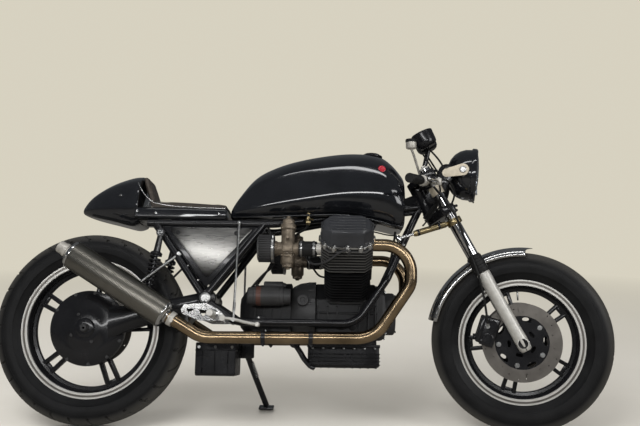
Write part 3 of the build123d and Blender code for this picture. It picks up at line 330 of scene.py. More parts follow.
def block(low, high, soften=0.0):
    # A box between two corners, its edges softened
    form = bmesh.new()
    low, high = Vector(low), Vector(high)
    bmesh.ops.create_cube(form, size=1, matrix=Matrix.Translation((low + high) / 2)
        @ Matrix.Diagonal(high - low).to_4x4())
    if soften:
        bmesh.ops.bevel(form, geom=form.edges[:], offset=soften, segments=2, profile=0.5, affect="EDGES",
            material=-1)
    return form


def boltHead(at, way, radius, height):
    # A hexagon head on its washer
    at, way = Vector(at), Vector(way).normalized()
    head = rod(at + way * height * 0.2, at + way * height, radius, radius * 0.96, steps=6)
    return gathered([head, rod(at, at + way * height * 0.25, radius * 1.3, steps=16)])


def screwHead(at, way, radius, height):
    # A round socket head
    return lathe(at, way, [(0, radius), (height * 0.8, radius), (height, radius * 0.85),
            (height, radius * 0.5), (height * 0.5, radius * 0.45), (height * 0.5, 0)], 14)


def band(at, way, near, far, inner, outer, steps=40):
    # A round band about an axis, open inside
    return lathe(at, way, [(near, inner), (near, outer), (far, outer), (far, inner)], steps)


def pipe(points, radius, steps=4, along=10, weights=None):
    # A round pipe on a smooth line through a route's points
    line = bpy.data.curves.new("line", "CURVE")
    line.dimensions = "3D"
    route = line.splines.new("NURBS")
    route.points.add(len(points) - 1)
    for point, place, weight in zip(route.points, points, weights or [1.0] * len(points)):
        point.co = (*place, weight)
    route.order_u = 3
    route.use_endpoint_u = True
    route.use_bezier_u = weights is not None
    route.resolution_u = along
    line.bevel_depth = radius
    line.bevel_resolution = steps
    line.use_fill_caps = True
    holder = bpy.data.objects.new("line", line)
    mesh = bpy.data.meshes.new_from_object(holder)
    form = bmesh.new()
    form.from_mesh(mesh)
    bmesh.ops.remove_doubles(form, verts=form.verts, dist=0.002)
    bpy.data.objects.remove(holder)
    bpy.data.meshes.remove(mesh)
    bpy.data.curves.remove(line)
    return form


def through(rings, capped=True):
    # A form through closed rings of points, one bridged to the next
    form = bmesh.new()
    loops = []
    for ring in rings:
        made = [form.verts.new(point) for point in ring]
        loops.append([form.edges.new(ends) for ends in zip(made, made[1:] + made[:1])])
    for near, far in zip(loops, loops[1:]):
        bmesh.ops.bridge_loops(form, edges=near + far)
    if capped:
        bmesh.ops.contextual_create(form, geom=loops[0])
        bmesh.ops.contextual_create(form, geom=loops[-1])
    return form


def gathered(forms):
    # Several forms in one
    whole = bmesh.new()
    for form in forms:
        spare = bpy.data.meshes.new("spare")
        form.to_mesh(spare)
        form.free()
        whole.from_mesh(spare)
        bpy.data.meshes.remove(spare)
    return whole


def copied(form, matrix):
    # A copy of a form, moved by a matrix; a mirrored one is turned right side out
    twin = form.copy()
    bmesh.ops.transform(twin, matrix=matrix, verts=twin.verts)
    if matrix.determinant() < 0:
        bmesh.ops.reverse_faces(twin, faces=twin.faces)
    return twin


def mirrored(form, shift=0.0):
    # One or several forms and their mirror image across the machine, which may sit further forward
    form = gathered(form) if isinstance(form, list) else form
    twin = copied(form, Matrix.Translation((shift, 0, 0)) @ Matrix.Diagonal((1, -1, 1, 1)))
    return gathered([form, twin])


def around(form, centre, way, count, start=0.0):
    # Copies of a form round an axis
    turns = [Matrix.Translation(centre) @ Matrix.Rotation(math.radians(start) + math.tau * k / count, 4, way)
             @ Matrix.Translation(-Vector(centre)) for k in range(count)]
    copies = [copied(form, turn) for turn in turns]
    form.free()
    return gathered(copies)


def piece(name, forms, finish, body, replaced=(), angle=35, soften=0.0, rounds=0):
    # An object made of forms, which rides on a CAD body
    form = gathered(forms) if isinstance(forms, list) else forms
    bmesh.ops.recalc_face_normals(form, faces=form.faces)
    mesh = bpy.data.meshes.new(name)
    form.to_mesh(mesh)
    form.free()
    mesh.transform(placeOf(body))
    mesh.shade_smooth()
    mesh.set_sharp_from_angle(angle=math.radians(angle))
    mesh.materials.append(finishes[finish][0])
    made = bpy.data.objects.new(name, mesh)
    bpy.context.scene.collection.objects.link(made)
    if soften:
        rounding = made.modifiers.new("rounding", "BEVEL")
        rounding.width = soften / 1000
        rounding.segments = 2
        rounding.limit_method = "ANGLE"
        rounding.angle_limit = math.radians(angle)
    if rounds:
        smoother = made.modifiers.new("smoother", "SUBSURF")
        smoother.levels = smoother.render_levels = rounds
    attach(made, body)
    if replaced:
        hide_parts(*replaced)
    return made


# Tyres
def tyreFinish(name, hub, place, radius):
    # Dark rubber, dusty and lighter where the tread meets the road
    made = finishOf(name, (0.0065, 0.0066, 0.007), 0.44, tone=0.25, bump=0.35, grain=500, shine=0.2)
    tree = made.node_tree
    shader = tree.nodes["Principled BSDF"]
    rubber = shader.inputs["Base Color"].links[0].from_socket
    axle = (place.to_3x3() @ Vector((0, 1, 0))).normalized()
    where = added(tree, "TexCoord").outputs["Object"]
    offset = added(tree, "VectorMath", {0: where, 1: place @ hub}, operation="SUBTRACT").outputs["Vector"]
    along = added(tree, "VectorMath", {0: offset, 1: axle}, operation="PROJECT").outputs["Vector"]
    away = added(tree, "VectorMath", {0: offset, 1: along}, operation="SUBTRACT").outputs["Vector"]
    reach = added(tree, "VectorMath", {0: away}, operation="LENGTH").outputs["Value"]
    dusty = added(tree, "MapRange",
        {"Value": reach, "From Min": (radius - 30) / 1000, "From Max": (radius - 2) / 1000}).outputs["Result"]
    feed(shader, {"Base Color": blended(tree, dusty, rubber, (0.05, 0.048, 0.044))})
    return made


def tyre(name, hub, body, node, values):
    # A road tyre: a turned section, its tread columns slanted and cut
    radius, half, flange, rimHalf = values["radius"], values["half"], values["flange"], values["rimHalf"]
    bead = flange - 15
    tall = radius - bead
    section = [(rimHalf - 15, bead + 0.3), (rimHalf - 6.5, bead + 2), (rimHalf - 1, flange - 3),
        (rimHalf + 2, flange + 1.5)]
    section += [(half * wide, bead + tall * high) for wide, high in (
        (0.86, 0.28), (0.93, 0.36), (0.955, 0.37), (0.985, 0.5), (0.995, 0.58), (0.975, 0.66), (0.96, 0.665),
        (0.93, 0.74), (0.86, 0.84), (0.78, 0.905), (0.66, 0.955), (0.52, 0.985))]
    section += [(half * 0.36, radius - 0.6), (half * 0.2, radius), (2.2, radius), (1.6, radius - 3.2)]
    section += [(-y, r) for y, r in reversed(section)]
    form = lathe(hub, (0, 1, 0), section, values["columns"])
    bmesh.ops.recalc_face_normals(form, faces=form.faces)
    step = math.tau / values["columns"]
    cuts = []
    for face in form.faces:
        middle = face.calc_center_median() - Vector(hub)
        column = round(math.atan2(middle.z, middle.x) / step - 0.5) % values["columns"]
        share = abs(middle.y) / half
        if 0.14 < share < values["cutTo"]:
            side = 0 if middle.y > 0 else values["every"] // 2
            if (column + side) % values["every"] == 0 and math.hypot(middle.x, middle.z) > bead + tall * 0.72:
                cuts.append(face)
    for vert in form.verts:
        share = min(1.0, abs(vert.co.y) / (half * 0.9))
        if math.hypot(vert.co.x - hub[0], vert.co.z - hub[2]) > bead + tall * 0.7:
            turn = Matrix.Rotation(values["slant"] * share, 3, "Y")
            vert.co = Vector(hub) + turn @ (vert.co - Vector(hub))
    bmesh.ops.inset_region(form, faces=cuts, thickness=values["wall"], depth=-values["depth"],
        use_even_offset=True)
    finishes[name] = (tyreFinish(name, hub, placeOf(body), radius), "tyre_rubber")
    piece(name, form, name, body, [node], angle=40)


rearTyre = {"radius": 333.6, "half": 65, "flange": 243.5, "rimHalf": 45, "columns": 180, "every": 6,
    "slant": 0.16, "wall": 2.4, "depth": 5, "cutTo": 0.95}
frontTyre = {"radius": 311, "half": 59, "flange": 217.5, "rimHalf": 41, "columns": 168, "every": 12,
    "slant": -0.12, "wall": 3.4, "depth": 3.0, "cutTo": 0.7}
tyre("rearTyreTread", rearHub, "rear_wheel", "rear_tyre", rearTyre)
tyre("frontTyreTread", frontHub, "front_wheel", "front_tyre", frontTyre)
print("tyres are cut")


# Cast wheels with five open twin-ribbed spokes
def castWheel(name, hub, body, node, values):
    # Barrel, ribs, hub, bright lips and valve
    flange, half = values["flange"], values["half"]
    barrel = flange - 30
    rim = [(half - 6, flange - 21), (half - 9, flange - 25), (26, barrel), (10, barrel - 1), (8, barrel - 11),
        (5, barrel - 13.5), (-5, barrel - 13.5), (-8, barrel - 11), (-10, barrel - 1), (-26, barrel),
        (9 - half, flange - 25), (6 - half, flange - 21), (5 - half, flange - 15.5),
        (half - 5, flange - 15.5), (half - 6, flange - 21)]
    forms = [lathe(hub, (0, 1, 0), rim, 144)]
    ribFrom, ribTo, gap = 40, barrel - 8, 15
    for side in (-1, 1):
        rib = block((ribFrom, -17, side * gap - 6.5), (ribTo, 17, side * gap + 6.5), 2.4)
        for vert in rib.verts:
            along = (vert.co.x - ribFrom) / (ribTo - ribFrom)
            vert.co.y *= 1.15 - 0.4 * along
            vert.co.z += side * (5 * max(0.0, along - 0.8) ** 2 * 30 - 5 * (1 - along) ** 3)
        bmesh.ops.translate(rib, vec=hub, verts=rib.verts)
        forms.append(around(rib, hub, "Y", 5, values["angle"]))
    web = block((ribFrom, -6, -gap), (flange * 0.52, 6, gap), 1.5)
    root = block((barrel - 22, -7, -gap - 4), (barrel - 6, 7, gap + 4), 2)
    for form in (web, root):
        bmesh.ops.translate(form, vec=hub, verts=form.verts)
        forms.append(around(form, hub, "Y", 5, values["angle"]))
    left, right = values["left"], values["right"]
    forms.append(lathe(hub, (0, 1, 0), [
        (-right, 11), (-right, 27), (2 - right, 29), (-right * 0.6, 37), (-24, 44), (-20, 54), (-16, 56),
        (16, 56),
        (20, 54), (24, 44), (left * 0.6, 37), (left - 2, 29), (left, 27), (left, 11), (-right, 11)], 64))
    piece(name, forms, "wheelBlack", body, [node], angle=32)
    lip = [(half - 5, flange), (half - 1, flange), (half, flange - 1), (half, flange - 6.5),
        (half - 2, flange - 7.5), (half - 2, flange - 13.5), (half, flange - 14.5), (half, flange - 20.5),
        (half - 1.5, flange - 22), (half - 6, flange - 22), (half - 6, flange - 2), (half - 5, flange)]
    ring = lathe(hub, (0, 1, 0), lip, 144)
    piece(name + "Lips", mirrored(ring), "rimAlloy", body, angle=30)
    channel = lathe(hub, (0, 1, 0),
        [(half - 2.2, flange - 7.4), (half - 1.6, flange - 7.6), (half - 1.6, flange - 13.4),
         (half - 2.2, flange - 13.6)], 144)
    piece(name + "Channels", mirrored(channel), "discSteel", body, angle=30)
    valve = rod(hub + Vector((0, 3, 0)), hub + Vector((0, 3, 34)), 3, steps=10, soften=0.5)
    turn = Matrix.Translation(hub) @ Matrix.Rotation(math.radians(values["angle"] + 36), 4, "Y")
    valve = copied(valve, turn @ Matrix.Translation((0, 6, barrel - 44)) @ Matrix.Translation(-hub))
    piece(name + "Valve", valve, "zinc", body)


rearWheel = {"flange": 243.5, "half": 45, "left": 58, "right": 46, "angle": -6}
frontWheel = {"flange": 217.5, "half": 41, "left": 61, "right": 61, "angle": -38.8}
castWheel("rearCastWheel", rearHub, "rear_wheel", "rear_wheel", rearWheel)
castWheel("frontCastWheel", frontHub, "front_wheel", "front_wheel", frontWheel)
print("wheels are cast")


# Discs, carriers and calipers
def holed(loops, near, far):
    # A plate across the machine with holes: closed loops of x and z, the first one outside
    form = bmesh.new()
    for loop in loops:
        made = [form.verts.new((x, near, z)) for x, z in loop]
        for ends in zip(made, made[1:] + made[:1]):
            form.edges.new(ends)
    bmesh.ops.triangle_fill(form, edges=form.edges[:], use_beauty=True, normal=(0, 1, 0))
    grown = bmesh.ops.extrude_face_region(form, geom=form.faces[:], use_keep_orig=True)
    bmesh.ops.translate(form, verts=[v for v in grown["geom"] if isinstance(v, bmesh.types.BMVert)],
                        vec=(0, far - near, 0))
    bmesh.ops.recalc_face_normals(form, faces=form.faces)
    return form


def oval(x, z, longHalf, wideHalf, turn, steps=18, power=1.0):
    # A closed oval about a point, its long axis turned
    points = []
    for step in range(steps):
        angle = math.tau * step / steps
        along = longHalf * math.copysign(abs(math.cos(angle)) ** power, math.cos(angle))
        wide = wideHalf * math.copysign(abs(math.sin(angle)) ** power, math.sin(angle))
        points.append((x + along * math.cos(turn) - wide * math.sin(turn),
                       z + along * math.sin(turn) + wide * math.cos(turn)))
    return points


def polar(hub, reach, angle):
    # x and z by the distance from an axle and the angle about it
    return hub[0] + reach * math.cos(angle), hub[2] + reach * math.sin(angle)


def brakeDisc(name, hub, body, nodes, values):
    # Drilled rings on carriers with oval windows, and their bolts
    outer, inner = values["radius"], values["radius"] * 0.68
    ring = [oval(hub[0], hub[2], outer, outer, 0, 96), oval(hub[0], hub[2], inner, inner, 0, 60)]
    for k in range(5):
        for share, turn in ((0.78, 10), (0.86, 26), (0.93, 42), (0.8, 58)):
            angle = math.radians(values["angle"] + 72 * k + turn)
            ring.append(oval(*polar(hub, outer * share, angle), 2.2, 2.2, 0, 8))
    for angle in (math.radians(96), math.radians(276)):
        ring.append(oval(*polar(hub, outer * 0.85, angle), 11, 1.4, angle, 12))
    carrier = [oval(hub[0], hub[2], inner + 4, inner + 4, 0, 60), oval(hub[0], hub[2], 22, 22, 0, 32)]
    bolts = []
    for k in range(5):
        angle = math.radians(values["angle"] + 72 * k)
        bolt = angle + math.radians(36)
        carrier.append(oval(*polar(hub, inner * 0.87, angle), 17, 8, angle + math.pi / 2, 20))
        carrier.append(oval(*polar(hub, inner * 0.47, bolt), 12, 6, bolt + math.pi / 2, 16, 0.6))
        bolts.append(polar(hub, inner * 0.86, bolt))
    rings, carriers, heads = [], [], []
    for side in values["sides"]:
        face = values["inner"]
        rings.append(holed(ring, side * (face + 0.8), side * (face + 5.6)))
        carriers.append(holed(carrier, side * (face + 0.1), side * (face + 4.6)))
        for x, z in bolts:
            heads.append(boltHead((x, side * (face + 4.6), z), (0, side, 0), 6.5, 6))
    piece(name, rings, "discSteel", body, nodes, angle=30)
    piece(name + "Carriers", carriers, "satinBlack", body, angle=30)
    piece(name + "Bolts", heads, "zinc", body, angle=30)


frontDisc = {"radius": 135, "angle": 5, "inner": 61.2, "sides": (-1, 1)}
rearDisc = {"radius": 121, "angle": 0, "inner": 58.2, "sides": (1,)}
brakeDisc("frontRotors", frontHub, "front_wheel", ["front_discs"], frontDisc)
brakeDisc("rearRotor", rearHub, "rear_wheel", ["rear_disc"], rearDisc)


def caliperForms(hub, discY, radius, angle, half):
    # A twin-piston caliper, drawn at the top of the disc and turned to its place
    forms = []
    z = hub[2] + radius - 15
    for side in (-1, 1):
        inner = discY + side * 7
        outer = discY + side * half
        low, high = min(inner, outer), max(inner, outer)
        forms.append(block((hub[0] - 50, low, z - 30), (hub[0] + 50, high, z + 20), 5))
        for x in (-24, 24):
            forms.append(lathe((hub[0] + x, outer, z - 6), (0, side, 0),
                               [(-1, 19), (1.6, 19), (2.6, 17.5), (2.6, 12), (1.2, 11), (1.2, 0)], 32))
    forms.append(block((hub[0] - 46, discY - half + 2, z + 17), (hub[0] + 46, discY + half - 2, z + 34), 6))
    for x in (-38, 38):
        forms.append(rod((hub[0] + x, discY - half - 1, z + 12), (hub[0] + x, discY + half + 1, z + 12), 6,
                soften=1))
    forms.append(rod((hub[0] - 30, discY, z + 30), (hub[0] - 34, discY, z + 42), 4, soften=1))
    whole = gathered(forms)
    bmesh.ops.rotate(whole, cent=hub, matrix=Matrix.Rotation(-math.radians(angle - 90), 3, "Y"),
        verts=whole.verts)
    return whole


frontCalipers = caliperForms(frontHub, -64.2, 135, 162, 21)
piece("frontBrakeCalipers", mirrored(frontCalipers), "satinBlack", "steering", ["front_calipers"], angle=30)
piece("rearBrakeCaliper", caliperForms(rearHub, 61.2, 121, 52, 19), "castAlloy", "frame", ["rear_caliper"],
    angle=30)
print("brakes are fitted")

# Bevel box, drive shaft tube and swingarm
boxForms = [
    lathe(rearHub, (0, -1, 0), [
        (52, 60), (52, 118), (53, 127), (56, 130), (66, 130), (67, 127.5), (69, 130), (76, 129), (79, 124),
        (84, 116),
        (91, 100), (95, 84), (97, 62), (101, 56), (103, 44), (104, 34), (108, 31), (110, 27), (110, 14)], 96),
]
ribs = block((36, -97, -2.5), (122, -74, 2.5), 1.5)
for vert in ribs.verts:
    if vert.co.y < -85 and vert.co.x > 70:
        vert.co.y = -80
bmesh.ops.translate(ribs, vec=rearHub, verts=ribs.verts)
boxForms.append(around(ribs, rearHub, "Y", 10, 8))
neck = []
neckSections = [(78, 350, 60), (130, 366, 47), (190, 384, 41), (215, 390, 38), (300, 412, 30), (392, 434, 28)]
for x, z, radius in neckSections:
    ringHalf = 25 if radius > 50 else 21
    neck.append([Vector((x - math.sin(turn), -80 - ringHalf * math.cos(turn), z + radius * math.sin(turn)))
            for turn in [math.tau * k / 28 for k in range(28)]])
boxForms.append(through(neck))
boxForms.append(lathe((218, -80, 390.5), (178, 0, 45),
        [(-9, 30), (-9, 40.5), (-6, 42), (6, 42), (9, 40.5), (9, 30)], 40))
piece("bevelBox", boxForms, "satinBlack", "frame", ["final_drive"], angle=32)
boxBolts = []
for turn in (80, 44, 14, -20, -52, -84, -120, 150, 112):
    spot = rearHub + Vector((122 * math.cos(math.radians(turn)), -78, 122 * math.sin(math.radians(turn))))
    boxBolts.append(boltHead(spot, (0, -1, 0), 5.5, 5))
for turn in range(4):
    spot = rearHub + Vector((52 * math.cos(turn * 1.57 + 0.5), -101, 52 * math.sin(turn * 1.57 + 0.5)))
    boxBolts.append(boltHead(spot, (0, -1, 0), 4.5, 4))
boxBolts.append(lathe(rearHub, (0, -1, 0), [(104, 8), (104, 19), (108, 19), (109, 17.5), (116, 15), (117, 13),
            (123, 12), (123.8, 10.5), (123.8, 5), (112, 5)], 6))
boxBolts.append(band(rearHub, (0, -1, 0), 104, 106.5, 10, 23, 32))
piece("bevelBoxBolts", boxBolts, "caseGrey", "frame", angle=30)
arm = [(-30, 352), (-30, 318), (0, 304), (60, 314), (150, 346), (392, 414), (432, 420), (436, 462),
    (400, 466), (150, 396), (40, 366), (0, 362)]
armForms = [plate(arm, 82, 103, corner=14, soften=4),
    rod((413, -105, 440), (413, 105, 440), 24, soften=2, steps=36),
    lathe((413, 0, 440), (0, -1, 0), [(74, 22), (74, 31), (80, 33), (100, 33), (104, 30), (104, 20)], 36)]
armForms.append(lathe((0, 92, 334), (0, 1, 0), [(-11, 11), (-11, 29), (13, 29), (15, 26), (15, 11)], 40))
piece("swingarmTubes", armForms, "satinBlack", "frame", ["swingarm"], angle=35)
piece("axleNuts",
    [boltHead((0, 107, 334), (0, 1, 0), 15, 12), rod((0, 104, 334), (0, 123.5, 334), 9.5, soften=1)], "zinc",
    "frame", ["rear_axle"], angle=30)
print("bevel box and swingarm are in place")


# Tank, tail and seat
def shell(stations):
    # Sections of the bodywork: x, then low z, high z and the half widths as on the solid, with points between
    rings = []
    for x, low, high, halfLow, halfWide, wideZ, halfShoulder, shoulderZ, halfHigh in stations:
        right = [(0, low), (-halfLow * 0.55, low), (-halfLow, low + 1),
            (-halfWide + 1, wideZ - (wideZ - low) * 0.35), (-halfWide, wideZ),
            (-halfWide + (halfWide - halfShoulder) * 0.35, wideZ + (shoulderZ - wideZ) * 0.55),
            (-halfShoulder, shoulderZ), (-halfShoulder * 0.82, shoulderZ + (high - shoulderZ) * 0.42),
            (-halfHigh * 1.25, high - (high - shoulderZ) * 0.16), (-halfHigh * 0.5, high - 0.3), (0, high)]
        points = right + [(-y, z) for y, z in right[-2:0:-1]]
        rings.append([Vector((x, y, z)) for y, z in points])
    return rings


tankStations = [
    (479, 727, 744, 60, 68, 735, 64, 741, 28), (494, 727, 784, 70, 84, 746, 76, 770, 30),
    (512, 727, 813, 78, 97, 752, 88, 789, 33), (545, 727, 862, 86, 108, 758, 95, 824, 34),
    (580, 727, 897, 92, 116, 765, 99, 850, 36), (640, 728, 926, 103, 128, 778, 109, 874, 38),
    (700, 729, 947, 112, 138, 790, 117, 894, 40), (790, 732, 967, 119, 149, 806, 126, 906, 42),
    (880, 735, 980, 124, 157, 820, 133, 916, 44), (945, 724, 981, 124, 158, 826, 133, 917, 44),
    (1010, 712, 975, 122, 157, 830, 130, 914, 44), (1045, 703, 953, 118, 152, 822, 124, 900, 41),
    (1072, 695, 925, 112, 142, 812, 113, 880, 38), (1092, 698, 898, 102, 129, 799, 101, 858, 34),
    (1103, 701, 884, 95, 118, 791, 95, 846, 32),
]
tankForm = through(shell(tankStations))
tankForm.verts.ensure_lookup_table()
creases = tankForm.edges.layers.float.new("crease_edge")
for first in range(0, (len(tankStations) - 1) * 20, 20):
    for place in (6, 14):
        crease = tankForm.edges.get((tankForm.verts[first + place], tankForm.verts[first + place + 20]))
        if crease:
            crease[creases] = 0.55
piece("tankShell", tankForm, "glossBlack", "frame", ["fuel_tank"], angle=60, rounds=2)
seamForms = []
for side in (-1, 1):
    seam = [(492, 730, 78), (560, 729.5, 92), (640, 730, 106), (700, 731, 114), (880, 736.5, 126),
        (945, 726, 126), (1010, 714, 124), (1060, 700, 117), (1090, 699, 106)]
    seamForms.append(pipe([(x, side * half, z) for x, z, half in seam], 2.6, 3))
piece("tankSeam", seamForms, "glossBlack", "frame", angle=40)
cap = [lathe((988, 0, 972), (0.05, 0, 1), [(0, 38), (5, 38), (6.5, 36), (7, 31), (9.5, 30), (12, 27),
            (12.8, 22), (12.8, 0)], 48), block((970, -3, 984), (1006, 3, 985.6), 1)]
piece("fillerRing", cap, "satinBlack", "frame", ["filler_cap"], angle=30)
for side in (-1, 1):
    badge = lathe((1016, side * 133.4, 898), (0.06, side, 0.28),
        [(-3, 13), (1.5, 13), (2.4, 11.6), (2.4, 8), (1.8, 7.4), (1.8, 0)], 32)
    piece("badgeRight" if side < 0 else "badgeLeft", badge, "redBadge", "frame")
print("tank is shaped")

tailStations = [
    (-61, 745, 759, 17, 23, 752, 19, 756, 9), (-44, 738, 785, 30, 42, 757, 36, 774, 13),
    (-20, 730, 813, 49, 65, 762, 54, 794, 18), (20, 720, 842, 63, 82, 766, 68, 811, 21),
    (60, 712, 863, 74, 97, 770, 80, 826, 24), (100, 702, 877, 80, 106, 773, 87, 834, 26),
    (130, 694, 885, 83, 112, 775, 91, 840, 28), (148, 698, 885.5, 85, 114, 776, 92, 841, 28),
    (158, 703, 885.5, 86, 115, 776, 93, 841, 28), (163, 705, 880, 86, 115, 777, 93, 838, 27),
]
tailForms = through(shell(tailStations))
piece("tailHump", tailForms, "glossBlack", "frame", ["tail_cowl"], angle=60, rounds=2)
pan = [(150, 717.5, 757, 103, 111), (200, 717.5, 757, 103, 111), (300, 717.5, 756.6, 101, 108),
       (400, 717.5, 756.2, 98, 103), (462, 717.5, 756, 95, 99), (473, 722, 752, 90, 95)]
panRings = []
for x, low, high, halfLow, halfWide in pan:
    middle = (low + high) / 2
    right = [(0, low), (-halfLow, low), (-halfWide, low + 6), (-halfWide - 0.4, middle),
        (-halfWide, high - 5), (-halfWide + 6, high), (0, high)]
    panRings.append([Vector((x, y, z)) for y, z in right + [(-y, z) for y, z in right[-2:0:-1]]])
piece("seatPan", through(panRings), "glossBlack", "frame", angle=40, soften=2.5)
trimForms = []
for side in (-1, 1):
    edge = [(154, 93.5, 846), (163, 101, 829), (178, 109, 806), (196, 112.4, 786), (226, 111.6, 768),
        (300, 107.6, 759.5), (400, 101, 757.8), (468, 95, 757)]
    trimForms.append(pipe([(x, side * y, z) for x, y, z in edge], 2.4, 3))
piece("seatTrim", trimForms, "polished", "frame", angle=40)
studs = []
for x, z, y in ((160, 742, 113), (226, 737, 111), (446, 737, 101)):
    for side in (-1, 1):
        studs.append(screwHead((x, side * (y - 1.0), z), (0, side, 0), 4.2, 3))
studs.append(screwHead((96, -101.5, 800), (0, -1, 0.25), 4.2, 3))
piece("seatStuds", studs, "polished", "frame", angle=30)


def cushion(name, low, high, shape, nodes, values):
    # A padded form: voxels, cloth under pressure, its move held to a cap, then one level of smoothing
    form = bmesh.new()
    bmesh.ops.create_cube(form, size=1, matrix=Matrix.Translation((Vector(low) + Vector(high)) / 2)
                          @ Matrix.Diagonal(Vector(high) - Vector(low)).to_4x4())
    bmesh.ops.subdivide_edges(form, edges=form.edges[:], cuts=7, use_grid_fill=True)
    shape(form)
    bmesh.ops.recalc_face_normals(form, faces=form.faces)
    mesh = bpy.data.meshes.new(name)
    form.to_mesh(mesh)
    form.free()
    mesh.transform(upright)
    pad = bpy.data.objects.new(name, mesh)
    bpy.context.scene.collection.objects.link(pad)
    remesh = pad.modifiers.new("voxels", "REMESH")
    remesh.mode = "VOXEL"
    remesh.voxel_size = values["voxel"]
    bpy.context.view_layer.objects.active = pad
    bpy.ops.object.select_all(action="DESELECT")
    pad.select_set(True)
    bpy.ops.object.modifier_apply(modifier="voxels")
    before = [vert.co.copy() for vert in pad.data.vertices]
    cloth = pad.modifiers.new("cloth", "CLOTH")
    cloth.settings.use_pressure = True
    cloth.settings.uniform_pressure_force = values["pressure"]
    cloth.settings.effector_weights.gravity = 0
    cloth.settings.quality = 6
    pinned = pad.vertex_groups.new(name="pinned")
    floorOf = min((upright.inverted() @ co).z for co in before)
    pinned.add([i for i, co in enumerate(before) if (upright.inverted() @ co).z < floorOf
            + values["pinned"]], 1.0, "ADD")
    cloth.settings.vertex_group_mass = "pinned"
    for count in range(1, values["frames"] + 1):
        bpy.context.scene.frame_set(count)
    swollen = pad.evaluated_get(bpy.context.evaluated_depsgraph_get()).data
    after = [vert.co.copy() for vert in swollen.vertices]
    pad.modifiers.remove(cloth)
    for vert, old, new in zip(pad.data.vertices, before, after):
        move = new - old
        vert.co = old + move * min(1.0, values["cap"] / max(move.length, 1e-9))
    bpy.context.scene.frame_set(1)
    pad.vertex_groups.clear()
    finer = pad.modifiers.new("finer", "SUBSURF")
    finer.levels = finer.render_levels = 1
    pad.data.shade_smooth()
    pad.data.materials.append(finishes["leather"][0])
    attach(pad, "frame")
    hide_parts(*nodes)


def seatShape(form):
    # Narrower and lower toward the front, its edges rounded over
    for vert in form.verts:
        along = (vert.co.x - 214) / 254
        half = 100 - 20 * along
        up = (vert.co.z - 758.5) / 22
        vert.co.y *= (half / 100) * (1 - 0.1 * max(0.0, up) ** 2)
        edge = max(0.0, abs(vert.co.y) / half - 0.6) / 0.4
        vert.co.z -= up * (6 * edge ** 2 + 3 * along)


def backShape(form):
    # Leans back and narrows toward its top
    for vert in form.verts:
        up = (vert.co.z - 760) / 120
        vert.co.x += 1 - 42 * up
        vert.co.y *= 1 - 0.16 * up - 0.1 * max(0.0, up - 0.75) * 4


seatPad = {"voxel": 0.005, "pressure": 4, "cap": 0.006, "pinned": 3, "frames": 20, "fill": 0.7}
backPad = {"voxel": 0.005, "pressure": 3, "cap": 0.004, "pinned": 3, "frames": 16, "fill": 0.7}
cushion("seatCushion", (214, -100, 758.5), (468, 100, 779), seatShape, ["seat_pad"], seatPad)
cushion("backCushion", (202, -76, 760), (216, 76, 880), backShape, ["back_pad"], backPad)
threads = []
for side in (-1, 1):
    threads.append(pipe([(222, side * 84, 781), (300, side * 80, 780), (380, side * 73, 777),
                (462, side * 64, 773)], 0.9, 2))
for x in (270, 320, 370, 420):
    half = 84 - 22 * (x - 222) / 240
    threads.append(pipe([(x, -half, 779.5 - (x - 222) * 0.02), (x, 0, 781.8 - (x - 222) * 0.02),
                         (x, half, 779.5 - (x - 222) * 0.02)], 0.8, 2))
piece("seatStitching", threads, "stitch", "frame", angle=40)
print("tail and seat are in place")


# Engine; a bank's forms use x, the way up the cylinder, and the way across it (outward and down)
slope = math.sqrt(0.5)
bankShift = 18
rightBank = Matrix(((1, 0, 0, 894), (0, -slope, -slope, 0), (0, slope, -slope, 400), (0, 0, 0, 1)))


def eightSided(halfX, halfT, cut):
    # An eight-sided outline
    return [(halfX - cut, -halfT), (halfX, -halfT + cut), (halfX, halfT - cut), (halfX - cut, halfT),
            (-halfX + cut, halfT), (-halfX, halfT - cut), (-halfX, -halfT + cut), (-halfX + cut, -halfT)]


def stacked(levels):
    # A form through eight-sided levels; each is its height, half sizes and corner cut
    return through([[Vector((x, up, across)) for x, across in eightSided(halfX, halfT, cut)]
                    for up, halfX, halfT, cut in levels])


def bothBanks(forms):
    # The right bank's forms in place, and the left bank's, which sits further forward
    whole = gathered(forms)
    bmesh.ops.transform(whole, matrix=rightBank, verts=whole.verts)
    bmesh.ops.recalc_face_normals(whole, faces=whole.faces)
    return mirrored(whole, bankShift)


cylinder = {"finStep": 11.6, "finThick": 2.8, "barrelFins": 10, "headFins": 8, "barrelHalf": 75,
    "headHalf": 86}
fins = []
for k in range(cylinder["barrelFins"]):
    up = 117 + k * cylinder["finStep"]
    fins.append(plate(eightSided(cylinder["barrelHalf"], 65, 24), up, up + cylinder["finThick"], 0, 0.7))
piece("barrelFins", bothBanks(fins), "castBlack", "frame", angle=30)
fins = []
for k in range(cylinder["headFins"]):
    up = 241 + k * cylinder["finStep"]
    fins.append(plate(eightSided(cylinder["headHalf"], 66, 26), up, up + cylinder["finThick"] + 0.4, 0, 0.8))
core = [lathe((0, 0, 0), (0, 1, 0), [(104, 0), (104, 60), (110, 60), (112, 54), (233, 54), (234, 62),
            (239, 62), (239, 0)], 40), stacked([(238, 64, 48, 20), (333, 64, 48, 20)])]
for x in (-40, 40):
    for across in (-40, 40):
        core.append(rod((x, 226, across), (x, 240, across), 8, steps=16))
piece("cylinderFins", bothBanks(fins), "finBlack", "frame", ["cylinders"], angle=30)
bosses = [rod((40, 300, -30), (84, 300, -38), 22, 19, soften=2),
    rod((-40, 300, -30), (-80, 300, -30), 23, 21, soften=2)]
piece("cylinderCores", bothBanks(core + bosses), "castBlack", "frame", angle=35)
base = [plate(eightSided(68, 62, 18), 99, 105, 0, 1.2)]
